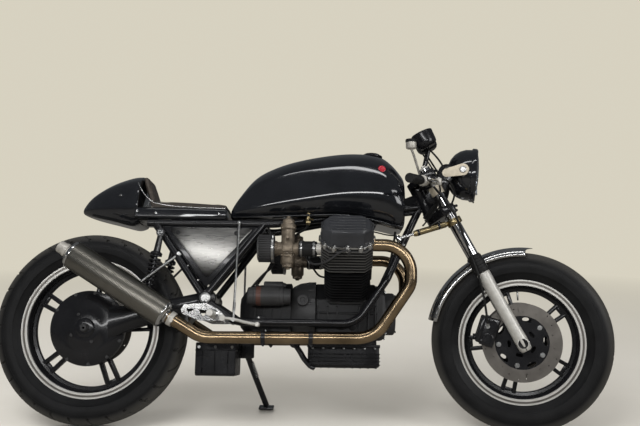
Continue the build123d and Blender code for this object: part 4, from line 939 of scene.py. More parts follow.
for x in (-56, 56):
    for across in (-50, 50):
        base.append(boltHead((x, 105, across), (0, 1, 0), 5, 6))
piece("cylinderBases", bothBanks(base), "caseGrey", "frame", angle=35)

lid = stacked([(339, 87, 55.5, 30), (343, 87, 55.5, 30), (346, 85.5, 54, 30), (380, 84, 52.5, 31),
        (391, 80, 48.5, 30), (396.5, 74, 42.5, 27)])
ribs = [block((-60, 394, across - 4.2), (60, 399, across + 4.2), 1.6) for across in (-31, -15.5, 0, 15.5, 31)]
for side in (-1, 1):
    for across in (-20, 0, 20):
        rib = block((78, 352, across - 4), (86.6, 384, across + 4), 1.4)
        ribs.append(copied(rib, Matrix.Diagonal((side, 1, 1, 1))))
        rib.free()
piece("rockerCovers", bothBanks([lid] + ribs), "coverGrey", "frame", ["rocker_covers"], angle=30, soften=1.2)
flange = [plate(eightSided(89, 59, 31), 330, 338.8, 0, 1)]
nuts = []
screwSpots = [(74, 40), (84, 0), (44, 56), (0, 57), (-44, 56), (-74, 40), (-84, 0), (-74, -40), (-44, -56),
    (0, -57), (44, -56), (74, -40)]
for x, across in screwSpots:
    flange.append(rod((x, 324, across), (x, 342, across), 11, 10, 24, 1))
    nuts.append(screwHead((x, 342, across), (0, 1, 0), 5.4, 5))
piece("coverFlanges", bothBanks(flange), "polished", "frame", angle=35)
piece("coverScrews", bothBanks(nuts), "zinc", "frame", angle=35)

plugs = [rod((903, -250, 578), (899, -276, 590), 9, 8, 20, 1.5),
    pipe([(899, -272, 588), (893, -290, 590), (868, -286, 582), (838, -258, 560), (800, -222, 548),
          (768, -184, 556), (744, -140, 600)], 3.8, 3)]
piece("plugLeads", mirrored(plugs, bankShift), "caseGrey", "frame", angle=40)


def cased(sections):
    # A casting through sections along the machine: x, half width, low z, high z, corner cuts below and above
    rings = []
    for x, half, low, high, under, over in sections:
        side = [(half - under, low), (half, low + under), (half, high - over), (half - over, high)]
        rings.append([Vector((x, y, z)) for y, z in side + [(-y, z) for y, z in side[::-1]]])
    return through(rings)


crankcase = [cased([(788, 96, 292, 496, 8, 56), (794, 101, 290, 500, 8, 58), (994, 101, 290, 500, 8, 58),
                    (1000, 97, 292, 496, 8, 56)])]
for x in (800, 832, 864, 940, 972, 996):
    crankcase.append(cased([(x - 3, 104, 291, 480, 6, 62), (x + 3, 104, 291, 480, 6, 62)]))
crankcase += [block((788, -104, 289), (1000, 104, 299), 2), block((786, -103, 392), (1002, 103, 400), 2)]
crankcase += [rod((x, -80, 352), (x, -104.5, 352), 15, 14, 24, 1.5) for x in (880, 918)]
piece("crankcase", crankcase, "castBlack", "frame", ["crankcase"], soften=1.0)
front = [lathe((1000, 0, 400), (1, 0, 0), [(0, 88), (16, 88), (22, 84), (34, 80), (34, 0)], 48),
    cased([(1000, 89, 306, 494, 30, 30), (1020, 88, 307, 493, 30, 30), (1030, 82, 314, 486, 30, 30)]),
    lathe((1030, 0, 400), (1, 0, 0), [(0, 74), (30, 74), (36, 71), (39, 64), (39.5, 30), (36, 26), (36, 0)],
        56)]
for k in range(10):
    turn = math.tau * k / 10
    front.append(boltHead((1068, 66 * math.cos(turn), 400 + 66 * math.sin(turn)), (1, 0, 0), 4, 4) if k % 2
        else block((1062, 50 * math.cos(turn) - 3, 400 + 50 * math.sin(turn) - 3),
            (1070, 50 * math.cos(turn) + 3, 400 + 50 * math.sin(turn) + 3), 1))
piece("frontCover", front, "caseGrey", "frame", soften=0.8)
coverBolts = [boltHead((1030, y, z), (1, 0, 0), 4.4, 5) for y, z in
              ((-74, 330), (-80, 400), (-74, 470), (0, 486), (74, 470), (80, 400), (74, 330), (0, 314))]
piece("frontBolts", coverBolts, "zinc", "frame")
bell = [lathe((705, 0, 400), (1, 0, 0), [(0, 84), (6, 92), (30, 104), (60, 109), (85, 110), (85, 0), (0, 0)],
        56), cased([(774, 106, 296, 504, 50, 60), (788, 106, 296, 504, 50, 60)])]
for k in range(12):
    turn = math.tau * (k + 0.5) / 12
    bell.append(rod((764, 104 * math.cos(turn), 400 + 104 * math.sin(turn)),
                    (789, 104 * math.cos(turn), 400 + 104 * math.sin(turn)), 7, steps=16, soften=1))
bell.append(lathe((746, -96, 436), (0, -1, 0.25), [(0, 20), (14, 20), (16, 18), (16, 9), (13, 8), (13, 0)],
        32))
piece("bellHousing", bell, "caseGrey", "frame", soften=0.8)
gear = [cased([(525, 44, 346, 446, 24, 24), (540, 62, 330, 466, 26, 26), (566, 78, 312, 490, 30, 34),
               (640, 83, 302, 498, 30, 40), (705, 84, 300, 500, 30, 40)])]
for x in (580, 610, 640, 670, 700):
    gear.append(cased([(x - 2.5, 84, 300.5, 499.5, 28, 38), (x + 2.5, 84, 300.5, 499.5, 28, 38)]))
gear.append(lathe((600, -78, 352), (0, -1, 0), [(0, 34), (5, 34), (6.5, 32), (6.5, 12), (4, 10), (4, 0)], 40))
piece("gearbox", gear, "castBlack", "frame", ["gearbox"], soften=1.0)
gearBolts = [boltHead((600 + 27 * math.cos(turn), -83, 352 + 27 * math.sin(turn)), (0, -1, 0), 3.6, 4)
             for turn in (0.5, 1.8, 3.0, 4.3, 5.5)]
piece("gearBolts", gearBolts, "zinc", "frame")

sump = [cased([(766, 92, 214, 290, 12, 2), (774, 97, 211, 290, 12, 2), (1000, 97, 211, 290, 12, 2),
               (1010, 90, 216, 290, 12, 2)])]
for z in (222, 234, 246, 258):
    sump.append(cased([(766, 102, z - 2, z + 2, 1.4, 1.4), (1012, 102, z - 2, z + 2, 1.4, 1.4)]))
for k in range(9):
    sump.append(block((782 + 27 * k, -80, 209.4), (786 + 27 * k, 80, 214), 0.8))
sump.append(cased([(764, 104, 279, 290, 3, 1), (1012, 104, 279, 290, 3, 1)]))
piece("finnedSump", sump, "wheelBlack", "frame", ["sump"], soften=0.8)
piece("sumpBolts", [boltHead((782 + 35.5 * k, side * 99, 279), (0, 0, -1), 4, 4) for k in range(7)
        for side in (-1, 1)] + [boltHead((880, 0, 211), (0, 0, -1), 9, 1.6)], "zinc", "frame")

starter = [lathe((556, -120, 449), (1, 0, 0),
        [(0, 0), (0, 22), (3, 29), (8, 31), (22, 31), (24, 33), (110, 33), (112, 31), (124, 31), (126, 28),
         (149, 26), (149, 0)], 40),
    lathe((612, -112, 487), (1, 0, 0), [(0, 0), (0, 12), (3, 14), (64, 14), (66, 11), (76, 8), (76, 0)], 28),
    *[boltHead((560, y, 449), (-1, 0, 0), 4, 5) for y in (-138, -102)]]
piece("starterMotor", starter, "caseGrey", "frame", ["starter_motor"], soften=0.6)
piece("starterBand", band((588, -120, 449), (1, 0, 0), 0, 16, 32.6, 33.6), "amberBand", "frame")
print("engine is built")


# Carburettors and filters
carb = {"x": 696, "y": -194, "z": 604}
cx, cy, cz = carb["x"], carb["y"], carb["z"]
forms = [lathe((cx, cy, 0), (0, 0, 1), [(552, 0), (552, 22), (556, 24), (583, 24), (586, 27), (622, 27),
            (628, 23), (668, 23), (670, 26), (684, 26), (688, 23), (690, 0)], 36),
    lathe((cx, cy, 0), (0, 0, 1), [(534, 0), (534, 7), (540, 8), (541, 18), (566, 22), (574, 22), (574, 0)],
        32), lathe((cx, cy, 0), (0, 0, 1), [(688, 20), (700, 20), (703, 18), (706, 8), (715, 6), (715, 0)],
        28), rod((cx - 42, cy, cz), (cx + 40, cy, cz), 23, 21, 32, 1.5),
    lathe((cx - 44, cy, cz), (1, 0, 0), [(0, 24), (0, 26), (7, 26), (9, 23), (9, 20)], 36),
    block((cx - 18, cy - 30, 590), (cx + 18, cy + 30, 618), 3),
    rod((cx, cy - 34, 640), (cx, cy, 640), 6, soften=1),
    block((cx - 12, cy - 28, 540), (cx + 12, cy + 28, 546), 1.5),
    rod((cx - 10, cy - 30, 577), (cx + 10, cy - 30, 577), 3)]
for x, z in ((cx - 20, 672), (cx + 20, 672), (cx - 20, 582), (cx + 20, 582)):
    forms.append(screwHead((x, cy - 16, z), (0, -0.3, 1 if z > 600 else -1), 3.6, 4))
piece("carburettors", mirrored(forms, bankShift), "oldAlloy", "frame", ["carburettors"], soften=0.5)
sleeve = lathe((cx + 36, -198, cz), (1, 0.03, 0), [(0, 20), (0, 25), (14, 26), (50, 26), (62, 25), (62, 19)],
    36)
piece("inletSleeves", mirrored(sleeve, bankShift), "softRubber", "frame")
clips = ([band((cx + x, -198, cz), (1, 0, 0), 0, 7, 25.5, 27.2, 36) for x in (41, 84)]
    + [boltHead((cx + x + 3, -226, cz + 6), (0, 0, 1), 3, 7) for x in (41, 84)])
piece("inletClips", mirrored(clips, bankShift), "zinc", "frame")
stub = [rod((cx + 94, -201, cz), (cx + 136, -202, cz), 21, 22, 32, 1),
    plate([(832, 570), (832, 638), (838, 638), (838, 570)], -232, -172, 0, 1)]
piece("inletStubs", mirrored(stub, bankShift), "castAlloy", "frame")
pleats = lathe((cx - 44 - 57, cy, cz), (1, 0, 0), [(0, 0), (0, 40), (3, 42), (54, 46), (56, 44), (56, 22)],
    60)
folds = around(block((cx - 98, cy - 1.6, cz + 41), (cx - 48, cy + 1.6, cz + 46.5), 0.8),
    Vector((cx - 80, cy, cz)), "X", 34)
piece("airFilters", mirrored([pleats, folds], bankShift), "filterCloth", "frame", ["air_filters"])
ends = gathered([lathe((cx - 102, cy, cz), (1, 0, 0), [(0, 0), (0, 37), (1.5, 41), (6, 43), (6, 40)], 48),
        lathe((cx - 54, cy, cz), (1, 0, 0), [(0, 47.5), (0, 48.4), (8, 48.4), (8, 24), (12, 24)], 48),
        boltHead((cx - 50, cy - 40, cz + 30), (0, 0, 1), 3, 8)])
piece("filterEnds", mirrored(ends, bankShift), "zinc", "frame")
print("carburettors are fitted")


# Exhaust
def bentPipe(points, bends, radius, steps=5, along=8):
    # A tube with straight legs and a round bend at each inner point
    points = [Vector(point) for point in points]
    line, weights, last = [points[0]], [1.0], points[0]
    for before, corner, after, bend in zip(points, points[1:], points[2:], bends):
        inward, onward = (corner - before).normalized(), (after - corner).normalized()
        half = inward.angle(onward) / 2
        reach = bend * math.tan(half)
        near, far = corner - inward * reach, corner + onward * reach
        line += [(last + near) / 2, near, corner, far]
        weights += [1.0, 1.0, math.cos(half), 1.0]
        last = far
    line += [(last + points[-1]) / 2, points[-1]]
    weights += [1.0, 1.0]
    return pipe(line, radius, steps, along, weights)


exhaust = {"pipe": 21, "front": (301, -195, 373), "rear": (-37, -195, 580), "bandAt": 128}
pipes = []
for shift, side in ((0, 1), (bankShift, -1)):
    route = [(957 + shift, -222, 616), (1107 + shift, -222, 616), (1107 + shift, -212, 487),
        (988 + shift, -178, 310), (412, -180, 306), (299, -195, 374)]
    pipes.append(bentPipe([(x, y * side, z) for x, y, z in route], [90, 70, 110, 100], exhaust["pipe"], 6,
            12))
piece("headerPipes", pipes, "bronzePipe", "frame", ["headers"], angle=60)
collars = [lathe((948, -222, 616), (1, 0, 0),
        [(0, 24), (0, 30), (3, 33), (6, 29), (9, 33), (12, 29), (15, 33), (18, 29), (21, 28), (30, 26),
         (30, 21.5)], 40)]
collars += [boltHead((958, -222, 616 + side * 30), (1, 0, 0), 5, 12) for side in (-1, 1)]
piece("portCollars", mirrored(collars, bankShift), "castAlloy", "frame")
bands = []
for x in (612, 770):
    bands.append(band((x, -179.4, 307.4), (1, 0, 0), 0, 14, 21, 23.6))
    bands.append(block((x + 2, -184, 282), (x + 12, -175, 287), 1))
    bands.append(boltHead((x + 7, -184, 283), (0, -1, 0), 3.4, 5))
piece("pipeBands", mirrored(bands), "satinBlack", "frame")

front, rear = Vector(exhaust["front"]), Vector(exhaust["rear"])
canWay, long = (rear - front).normalized(), (rear - front).length
body = lathe(front, canWay, [(16, 46.4), (17, 47.6), (20, 48), (long - 16, 48), (long - 13, 47.2),
        (long - 12, 46.4)], 96)
piece("silencerCans", mirrored(body), "canMetal", "frame", ["silencers"], angle=30)
bright = [lathe(front, canWay, [(0, 22), (-1, 24), (3, 25), (5, 38), (8, 44.5), (11, 47), (12.5, 48),
            (16, 48), (17, 46)], 96),
    lathe(front, canWay, [(long - 13, 46), (long - 12.5, 47.8), (long - 9, 48), (long - 5, 47.4),
            (long - 1, 44.6), (long, 42), (long - 1, 24)], 96)]
piece("silencerRings", mirrored(bright), "polished", "frame", angle=40)
out = [lathe(front, canWay, [(long - 2, 26), (long + 3, 26), (long + 5, 21), (long + 44, 21), (long + 46, 20),
            (long + 45.5, 18.4), (long + 6, 18), (long + 5, 0)], 64),
    band(front, canWay, long + 12, long + 23, 21, 23.4, 64)]
for turn in (0.6, 2.7, 4.8):
    away = canWay.orthogonal().normalized()
    away.rotate(Matrix.Rotation(turn, 3, canWay))
    out.append(screwHead(front + canWay * (long - 7) + away * 44, away, 3, 4.2))
piece("silencerOutlets", mirrored(out), "castAlloy", "frame", angle=40)
clamps = [lathe(front, canWay, [(-24, 21.5), (-24, 24.4), (-8, 25), (-8, 21.5)], 48)]
for back, z in ((20, -6), (12, 4)):
    clamps.append(boltHead(front - canWay * back + Vector((0, -24, z)), (0, -1, 0), 4, 7))
piece("canClamps", mirrored(clamps), "castAlloy", "frame")
at = front + canWay * exhaust["bandAt"]
strap = band(at - canWay * 8, canWay, 0, 16, 48, 49.4, 96)
piece("canStraps", mirrored(strap), "canMetal", "frame", ["silencer_hangers"])
lug = at + Vector((0, 26, 44))
hangers = [rod(lug, (312, -110, 592), 4.2, soften=1),
    rod(lug + Vector((0, -6, 0)), lug + Vector((0, 7, 0)), 9, steps=20, soften=1.2),
    rod((312, -116, 592), (312, -104, 592), 9, steps=20, soften=1.2),
    boltHead((312, -116, 592), (0, -1, 0), 5, 5), boltHead(lug + Vector((0, -6, 0)), (0, -1, 0), 5, 5),
    rod(at + Vector((0, 20, 36)), lug, 6)]
piece("canHangers", mirrored(hangers), "zinc", "frame")
print("exhaust is hung")


# Front end, in straight-ahead millimetres; the steering's own turn places it
forkFoot = onFork(0, 0)
forkPlate = Matrix(((forkAhead.x, forkUp.x, 0, forkFoot.x), (0, 0, -1, 0),
        (forkAhead.z, forkUp.z, 0, forkFoot.z), (0, 0, 0, 1)))


def hull(discs, near, far, soften=0.0):
    # A plate wrapped round discs; each is its x, z and radius
    form = bmesh.new()
    for x, z, radius in discs:
        for y in (near, far):
            bmesh.ops.create_circle(form, segments=36, radius=radius, matrix=Matrix.Translation((x, y, z))
                @ Matrix.Rotation(math.pi / 2, 4, "X"))
    wrapped = bmesh.ops.convex_hull(form, input=form.verts[:])
    spare = {part for part in wrapped["geom_interior"] + wrapped["geom_unused"]
        if isinstance(part, bmesh.types.BMVert)}
    bmesh.ops.delete(form, geom=list(spare), context="VERTS")
    bmesh.ops.dissolve_limit(form, angle_limit=0.01, verts=form.verts[:], edges=form.edges[:])
    if soften:
        rims = [edge for edge in form.edges if edge.calc_face_angle(0) > 0.9]
        bmesh.ops.bevel(form, geom=rims, offset=soften, segments=2, profile=0.5, affect="EDGES", material=-1)
    return form


fork = {"stanchion": 19, "side": 95}
root = onFork(0, 55, -fork["side"])
slider = [lathe(root, forkUp, [(-28, 0), (-28, 15), (-25, 19), (-16, 22), (20, 22.8), (34, 22), (60, 21.6),
            (200, 22), (232, 23), (246, 24), (268, 24), (273, 23), (274, 21), (274, 19.2)], 48),
    rod(root + Vector((0, -21.5, 0)), root + Vector((0, 21.5, 0)), 20, steps=40, soften=1.5),
    rod(onFork(232, 55, -88), onFork(232, 55, -74), 8, steps=20, soften=1),
    rod(onFork(300, 55, -88), onFork(300, 55, -84), 6, steps=20)]
piece("forkSliders", mirrored(slider), "forkAlloy", "steering", ["fork_sliders"], angle=40)
axleEnd = [lathe(root + Vector((0, -21.5, 0)), (0, -1, 0),
        [(0, 16.5), (0.8, 16.5), (0.8, 11.6), (0.4, 11), (0.4, 0)], 40)]
pinch = []
for up, ahead in ((-18, 72), (-4, 76)):
    pinch.append(screwHead(onFork(up, ahead, -fork["side"] - 11), -forkAhead + Vector((0, -0.6, 0)), 3.6, 4))
seamOf = rod(onFork(-29, 55, -fork["side"] - 19), onFork(-12, 55, -fork["side"] - 22.6), 1.2, steps=8)
piece("axleRecess", mirrored((axleEnd + [seamOf])), "castBlack", "steering")
spindle = [rod((1513, -112, 311), (1513, 112, 311), 8.5),
    boltHead(root + Vector((0, -16, 0)), (0, -1, 0), 8, 4)]
piece("frontSpindle", mirrored(spindle), "castBlack", "steering", ["front_axle"])
piece("pinchScrews", mirrored(pinch), "zinc", "steering")
tube = band(root, forkUp, 272, 688, 18, fork["stanchion"], 48)
piece("forkStanchions", mirrored(tube), "chrome", "steering", ["fork_stanchions"], angle=40)
collar = lathe(root, forkUp, [(274, 19.4), (274, 25.6), (276, 27), (290, 27), (292, 24.6), (300, 24.6),
        (302, 26.6), (313, 26.6), (315, 24), (323, 23.6), (325, 25), (333, 25), (337, 22.4), (341, 21.4),
        (341, 19.4)], 48)
piece("dustSeals", mirrored(collar), "softRubber", "steering", ["fork_boots"])
topCap = [lathe(root, forkUp, [(686, 19.4), (690, 19.4), (692, 17), (694, 12), (694, 0)], 40),
    copied(boltHead((0, 0, 0), (0, 0, 1), 8, 6), Matrix.Translation(onFork(693, 55, -fork["side"]))
        @ forkUp.to_track_quat("Z", "Y").to_matrix().to_4x4())]
piece("forkCaps", mirrored(topCap), "forkAlloy", "steering")
yokeSides = [(-29, -24), (-29, 24), (30, 121), (83, 121), (83, 72), (40, 32), (40, -32), (83, -72),
    (83, -121), (30, -121)]
lower = [copied(plate(yokeSides, 506, 536, 15, 2.2), forkPlate),
         rod(onFork(500, 0), onFork(507, 0), 17, steps=24, soften=2)]
upper = [copied(plate(yokeSides, 652, 676, 15, 2.2), forkPlate)]
for forms, up in ((lower, 521), (upper, 664)):
    for side in (-1, 1):
        forms.append(rod(onFork(up, 76, side * 116), onFork(up, 90, side * 82), 5, steps=16))
piece("lowerYoke", lower, "satinBlack", "steering", ["lower_yoke"])
piece("upperYoke", upper, "satinBlack", "steering", ["upper_yoke"])
stem = [lathe(onFork(0, 0), forkUp, [(676, 19), (679, 19), (680, 15), (685, 14), (685, 8), (682, 7),
            (682, 0)], 6), rod(onFork(536, 0), onFork(652, 0), 12)]
piece("stemNut", stem, "chrome", "steering")

guard = {"front": 82, "rear": 167, "tip": 5, "tipReach": 14.5, "rings": 34}
profile = [(-66, 297), (-66, 304), (-63.5, 312), (-57, 318), (-46, 323), (-32, 326.4), (-16, 328.2),
    (0, 328.8)]
profile += [(-y, radius) for y, radius in profile[-2::-1]]
arch = bmesh.new()
centre = frontHub
line = [arch.verts.new(centre + Vector((0, y, radius))) for y, radius in profile]
strip = [arch.edges.new(ends) for ends in zip(line, line[1:])]
bmesh.ops.rotate(arch, verts=line, cent=centre, matrix=Matrix.Rotation(math.radians(90 - guard["front"]), 3,
        "Y"))
bmesh.ops.spin(arch, geom=line + strip, cent=centre, axis=(0, -1, 0),
    angle=math.radians(guard["rear"] - guard["front"]), steps=guard["rings"], dvec=(0, 0, 0))
for vert in arch.verts:
    turn = math.degrees(math.atan2(vert.co.z - centre.z, vert.co.x - centre.x))
    if turn < guard["front"] + guard["tipReach"]:
        share = 1 - (turn - guard["front"]) / guard["tipReach"]
        back = guard["tip"] * min(1, abs(vert.co.y) / 60) * share
        offset = vert.co - centre
        offset.rotate(Matrix.Rotation(-math.radians(back), 3, "Y"))
        vert.co = centre + offset
guardPiece = piece("frontGuard", arch, "polished", "steering", ["front_mudguard"], angle=50)
thicken = guardPiece.modifiers.new("thickness", "SOLIDIFY")
thicken.thickness = 0.0018
thicken.offset = 1
tabs = [hull([(onFork(228).x, onFork(228).z, 10), (onFork(302).x, onFork(302).z, 12)], -67.4, -64.4, 0.6),
    rod(onFork(232, 55, -75), onFork(232, 55, -66), 7, steps=20, soften=0.8),
    screwHead(onFork(262, 55, -67), (0, -1, 0), 4, 3), screwHead(onFork(290, 55, -67), (0, -1, 0), 4, 3)]
piece("guardTabs", mirrored(tabs), "polished", "steering")

lamp = {"at": Vector((1345, 0, 903)), "tilt": 5}
lampWay = Vector((math.cos(math.radians(lamp["tilt"])), 0, -math.sin(math.radians(lamp["tilt"]))))
bowl = lathe(lamp["at"], lampWay, [(-84, 0), (-84, 16), (-82, 30), (-74, 52), (-60, 71), (-42, 84), (-22, 91),
        (0, 92), (2, 92), (2, 88), (-20, 86)], 72)
piece("lampShell", bowl, "glossBlack", "steering", ["headlight_shell"])
rim = lathe(lamp["at"], lampWay, [(1, 90), (1, 95), (4, 97), (14, 97), (19, 95.4), (22, 91), (22.4, 87),
        (20, 85.4), (15, 86)], 96)
piece("lampRim", [rim, screwHead(lamp["at"] + lampWay * 10 + Vector((0, 0, -96)), (0, 0, -1), 3, 4)],
    "glossBlack", "steering")
piece("lampReflector",
    lathe(lamp["at"], lampWay, [(-46, 0), (-45, 14), (-36, 38), (-20, 62), (0, 79), (15, 86)], 72),
    "reflector", "steering")
piece("lampBulb",
    [lathe(lamp["at"], lampWay, [(-46, 12), (-40, 12), (-38, 8), (-12, 7.5), (-8, 5), (-7, 0)], 24),
     rod(lamp["at"] - lampWay * 10, lamp["at"] - lampWay * 2, 13, 11, soften=1)], "chrome", "steering")
lensForm = lathe(lamp["at"], lampWay, [(17, 86), (22, 80), (26, 60), (29, 30), (30, 0)], 72)
thick = piece("lampLens", lensForm, "glass", "steering", ["headlight_lens"], angle=60)
skin = thick.modifiers.new("thickness", "SOLIDIFY")
skin.thickness = 0.0025
skin.offset = -1
flutes = []
for y in range(-70, 71, 14):
    out = lamp["at"] + lampWay * (17 + 6 * (1 - abs(y) / 80))
    tall = 70 * (1 - (y / 84) ** 2) ** 0.5
    flutes.append(rod(out + Vector((0, y, -tall)), out + Vector((0, y, tall)), 1.2, steps=8))
piece("lampFlutes", flutes, "glass", "steering")
earAt = onFork(600, 76)
arm = hull([(earAt.x, earAt.z, 15), (1268, 902, 16)], -103, -99, 1)
piece("lampArms", mirrored(arm), "satinBlack", "steering")
ears = [hull([(1262, 900, 15), (1319, 911, 21)], -103.6, -98.4, 1),
    lathe(onFork(0, 55, -fork["side"]), forkUp,
        [(584, 19.4), (584, 23.4), (586, 24.2), (614, 24.2), (616, 23.4), (616, 19.4)], 40)]
piece("lampEars", mirrored(ears), "earAlloy", "steering", ["headlight_brackets"])
earBolts = [rod((1319, -101, 911), (1319, -84, 911), 8, steps=20),
    lathe((1319, -103, 911), (0, -1, 0), [(0, 12), (2, 12), (3, 10), (3, 0)], 24),
    boltHead((1319, -105.5, 911), (0, -1, 0), 7, 5)]
piece("earBolts", mirrored(earBolts), "zinc", "steering")
print("fork and lamp are fitted")

handle = {"clipAt": 618, "height": 30, "sweep": 12, "drop": 4, "gripEnd": 385, "grip": 125}
barWay = Vector((-math.sin(math.radians(handle["sweep"])), -math.cos(math.radians(handle["sweep"])),
                 -math.sin(math.radians(handle["drop"]))))
barRoot = onFork(handle["clipAt"] + handle["height"] / 2, 55, -fork["side"])
barLong = handle["gripEnd"] - fork["side"] - fork["stanchion"]
barStart, barEnd = barRoot + barWay * 23.5, barRoot + barWay * (barLong + 19)
clip = [lathe(onFork(0, 55, -fork["side"]), forkUp,
        [(618, 19.4), (618, 26.6), (620, 28), (646, 28), (648, 26.6), (648, 19.4)], 40),
    rod(barRoot + barWay * 22, barRoot + barWay * 52, 15, 12.6, soften=1),
    rod(barStart, barEnd - barWay * 2, 11)]
clip += [screwHead(onFork(633 + up, 84, -fork["side"] + 8), forkAhead, 3.8, 4) for up in (-8, 8)]
piece("clipOns", mirrored(clip), "satinBlack", "steering", ["clip_ons"])
ribsOf = [(0, 11.6), (0, 16), (3, 16)]
for k in range(14):
    ribsOf += [(6 + k * 8, 14.4), (8 + k * 8, 14.4), (9 + k * 8, 15.6), (12.6 + k * 8, 15.6)]
ribsOf += [(120, 15.8), (126, 16), (128, 14), (128, 0)]
piece("grips", mirrored(lathe(barEnd - barWay * handle["grip"], barWay, ribsOf, 32)), "softRubber",
    "steering", ["grips"])
leverRoot = barEnd - barWay * (handle["grip"] + 42)
pivotAt = leverRoot + Vector((52, 0, -4))
tip = barEnd + Vector((60, 14, -2))
perch = [rod(leverRoot - barWay * 14, leverRoot + barWay * 14, 18.6, soften=1.5),
    rod(leverRoot + Vector((15, 0, 0)), pivotAt, 9, soften=1),
    lathe(pivotAt, (0, 0, 1), [(-11, 0), (-11, 10), (-9, 11), (9, 11), (11, 10), (11, 0)], 24),
    screwHead(pivotAt, (0, 0, 1), 4, 14)]
piece("leverPerches", mirrored(perch), "castAlloy", "steering", ["levers"])
blade = [pipe([pivotAt, pivotAt.lerp(tip, 0.25) + Vector((2, 0, 0)), pivotAt.lerp(tip, 0.6)
            + Vector((-6, 0, 0)), tip], 5, 4),
    lathe(tip - barWay * 7, barWay, [(0, 0), (1, 4), (3.6, 6.4), (7, 7), (10.4, 6.4), (13, 4), (14, 0)], 20)]
piece("leverBlades", mirrored(blade), "polished", "steering")

dials = {"x": 1196, "z": 1002, "apart": 46, "radius": 40}
dialWay = Vector((-0.42, 0, 0.91)).normalized()
cups, bezels, faces, marks, hands = [], [], [], [], []
for side in (-1, 1):
    at = Vector((dials["x"], side * dials["apart"], dials["z"]))
    cups.append(lathe(at, dialWay, [(0, 0), (0, 26), (3, 32), (12, 38), (20, 39.2), (48, 39.6), (49, 37)],
            56))
    bezels.append(lathe(at, dialWay, [(47, 38), (47, 39.8), (50, 40), (55, 40), (57.6, 38.4), (58, 36.6),
                (56, 36), (52, 36)], 56))
    faces.append(lathe(at, dialWay, [(50, 0), (50, 36.4), (51.4, 36.4), (51.4, 0)], 48))
    turned = Matrix.Translation(at + dialWay * 51.6) @ dialWay.to_track_quat("Z", "Y").to_matrix().to_4x4()
    for k in range(21):
        turn = math.radians(-130 + 13 * k)
        tick = block((-0.6, 29 if k % 4 else 26, 0), (0.6, 33.5, 0.6))
        marks.append(copied(tick, turned @ Matrix.Rotation(turn + math.pi, 4, "Z")))
        tick.free()
    hand = block((-1, -6, 1), (1, 25, 2.4), 0.4)
    hands.append(copied(hand, turned @ Matrix.Rotation(math.radians(50), 4, "Z")))
    hand.free()
    hands.append(copied(rod((0, 0, 0), (0, 0, 3), 4, steps=20), turned))
mount = [block((1176, -46, 1008), (1196, 46, 1016), 2), rod(onFork(676, 34), (1196, 0, 1004), 9, soften=1)]
piece("dialCups", cups + mount, "satinBlack", "steering", ["instruments"])
piece("dialBezels", bezels, "satinBlack", "steering")
piece("dialFaces", faces, "dialFace", "steering")
piece("dialMarks", marks, "paleMark", "steering")
piece("dialHands", hands, "redBadge", "steering")
pot = Vector((1140, -122, 984))
cup = [lathe(pot, (0, 0, 1), [(0, 0), (0, 14), (2, 17), (4, 18.4), (24, 18.8), (25, 17)], 40)]
lid = [lathe(pot, (0, 0, 1), [(24, 19), (24, 20), (32, 20), (35, 18), (36, 12), (36, 0)], 40)]
for k in range(16):
    turn = k * math.tau / 16
    rib = pot + Vector((18.6 * math.cos(turn), 18.6 * math.sin(turn), 0))
    lid.append(block(rib + Vector((-1, -1, 25)), rib + Vector((1, 1, 32)), 0.3))
piece("reservoirCup",
    cup
    + [pipe([onFork(676, 30, -62), (1150, -100, 960), (1144, -118, 975), tuple(pot + Vector((0, 0, 2)))], 4.4,
            3)], "castAlloy", "steering", ["brake_reservoir"])
piece("reservoirLid", lid, "softRubber", "steering")
hoseRoute = [(1215, -214, 844.7), (1290, -150, 762), (1332, -130, 640), (1384, -130, 500), (1398, -92, 372)]
piece("brakeHose", pipe(hoseRoute, 4, 4, 14), "softRubber", "steering", ["brake_hose"], angle=60)
piece("hoseEnds", [rod((1213, -216, 847), (1219, -210.5, 840), 5.6, steps=12),
        rod((1398, -92.5, 376), (1398, -91, 366), 5.6, steps=12),
        lathe((1398, -91, 366), (0, -1, 0), [(-4, 0), (-4, 7), (4, 7), (4, 0)], 20)], "zinc", "steering")
# Controls and cables that fill the space about the head
pump = [rod(leverRoot + Vector((18, 26, 2)), leverRoot + Vector((34, -30, 2)), 11, steps=28, soften=1.5),
    lathe(leverRoot + Vector((26, 0, 10)), (0, 0, 1), [(0, 9), (4, 9), (5, 7), (5, 0)], 20),
    block(leverRoot + Vector((-16, 40, -16)), leverRoot + Vector((16, 66, 16)), 4),
    block(leverRoot + Vector((-18, 46, -4)), leverRoot + Vector((-14, 58, 6)), 1)]
piece("switchgear", mirrored(pump), "satinBlack", "steering")
cables = []
for radius, route in (
    (3.4, [leverRoot + Vector((20, 30, 0)), (1262, -150, 880), (1296, -110, 832), (1270, -70, 770),
           (1190, -50, 740)]),
    (3.4, [(1176, 40, 1004), (1220, 60, 940), (1262, 74, 860), (1240, 60, 790), (1180, 40, 750)]),
    (3.4, [(1196, -30, 1000), (1244, -60, 950), (1262, -84, 880), (1236, -96, 800), (1190, -60, 740)]),
    (5, [(1270, 30, 880), (1262, 60, 820), (1226, 60, 770), (1180, 44, 742)]),
    (5, [(1270, -30, 880), (1256, -66, 836), (1222, -70, 790), (1180, -48, 744)]),
    (3, [(1160, -60, 1000), (1200, -104, 940), (1246, -122, 850), (1232, -112, 770), (1176, -64, 716)]),
):
    cables.append(pipe(route, radius, 3))
piece("cables", cables, "softRubber", "steering")
lampMount = [hull([(onFork(590, 30).x, onFork(590, 30).z, 22), (1262, 906, 30)], -70, -64, 1),
    lathe((1268, -92, 914), (0, -1, 0), [(-14, 0), (-14, 13), (-3, 14), (0, 12), (1, 0)], 28)]
piece("lampMounts", mirrored(lampMount), "satinBlack", "steering")
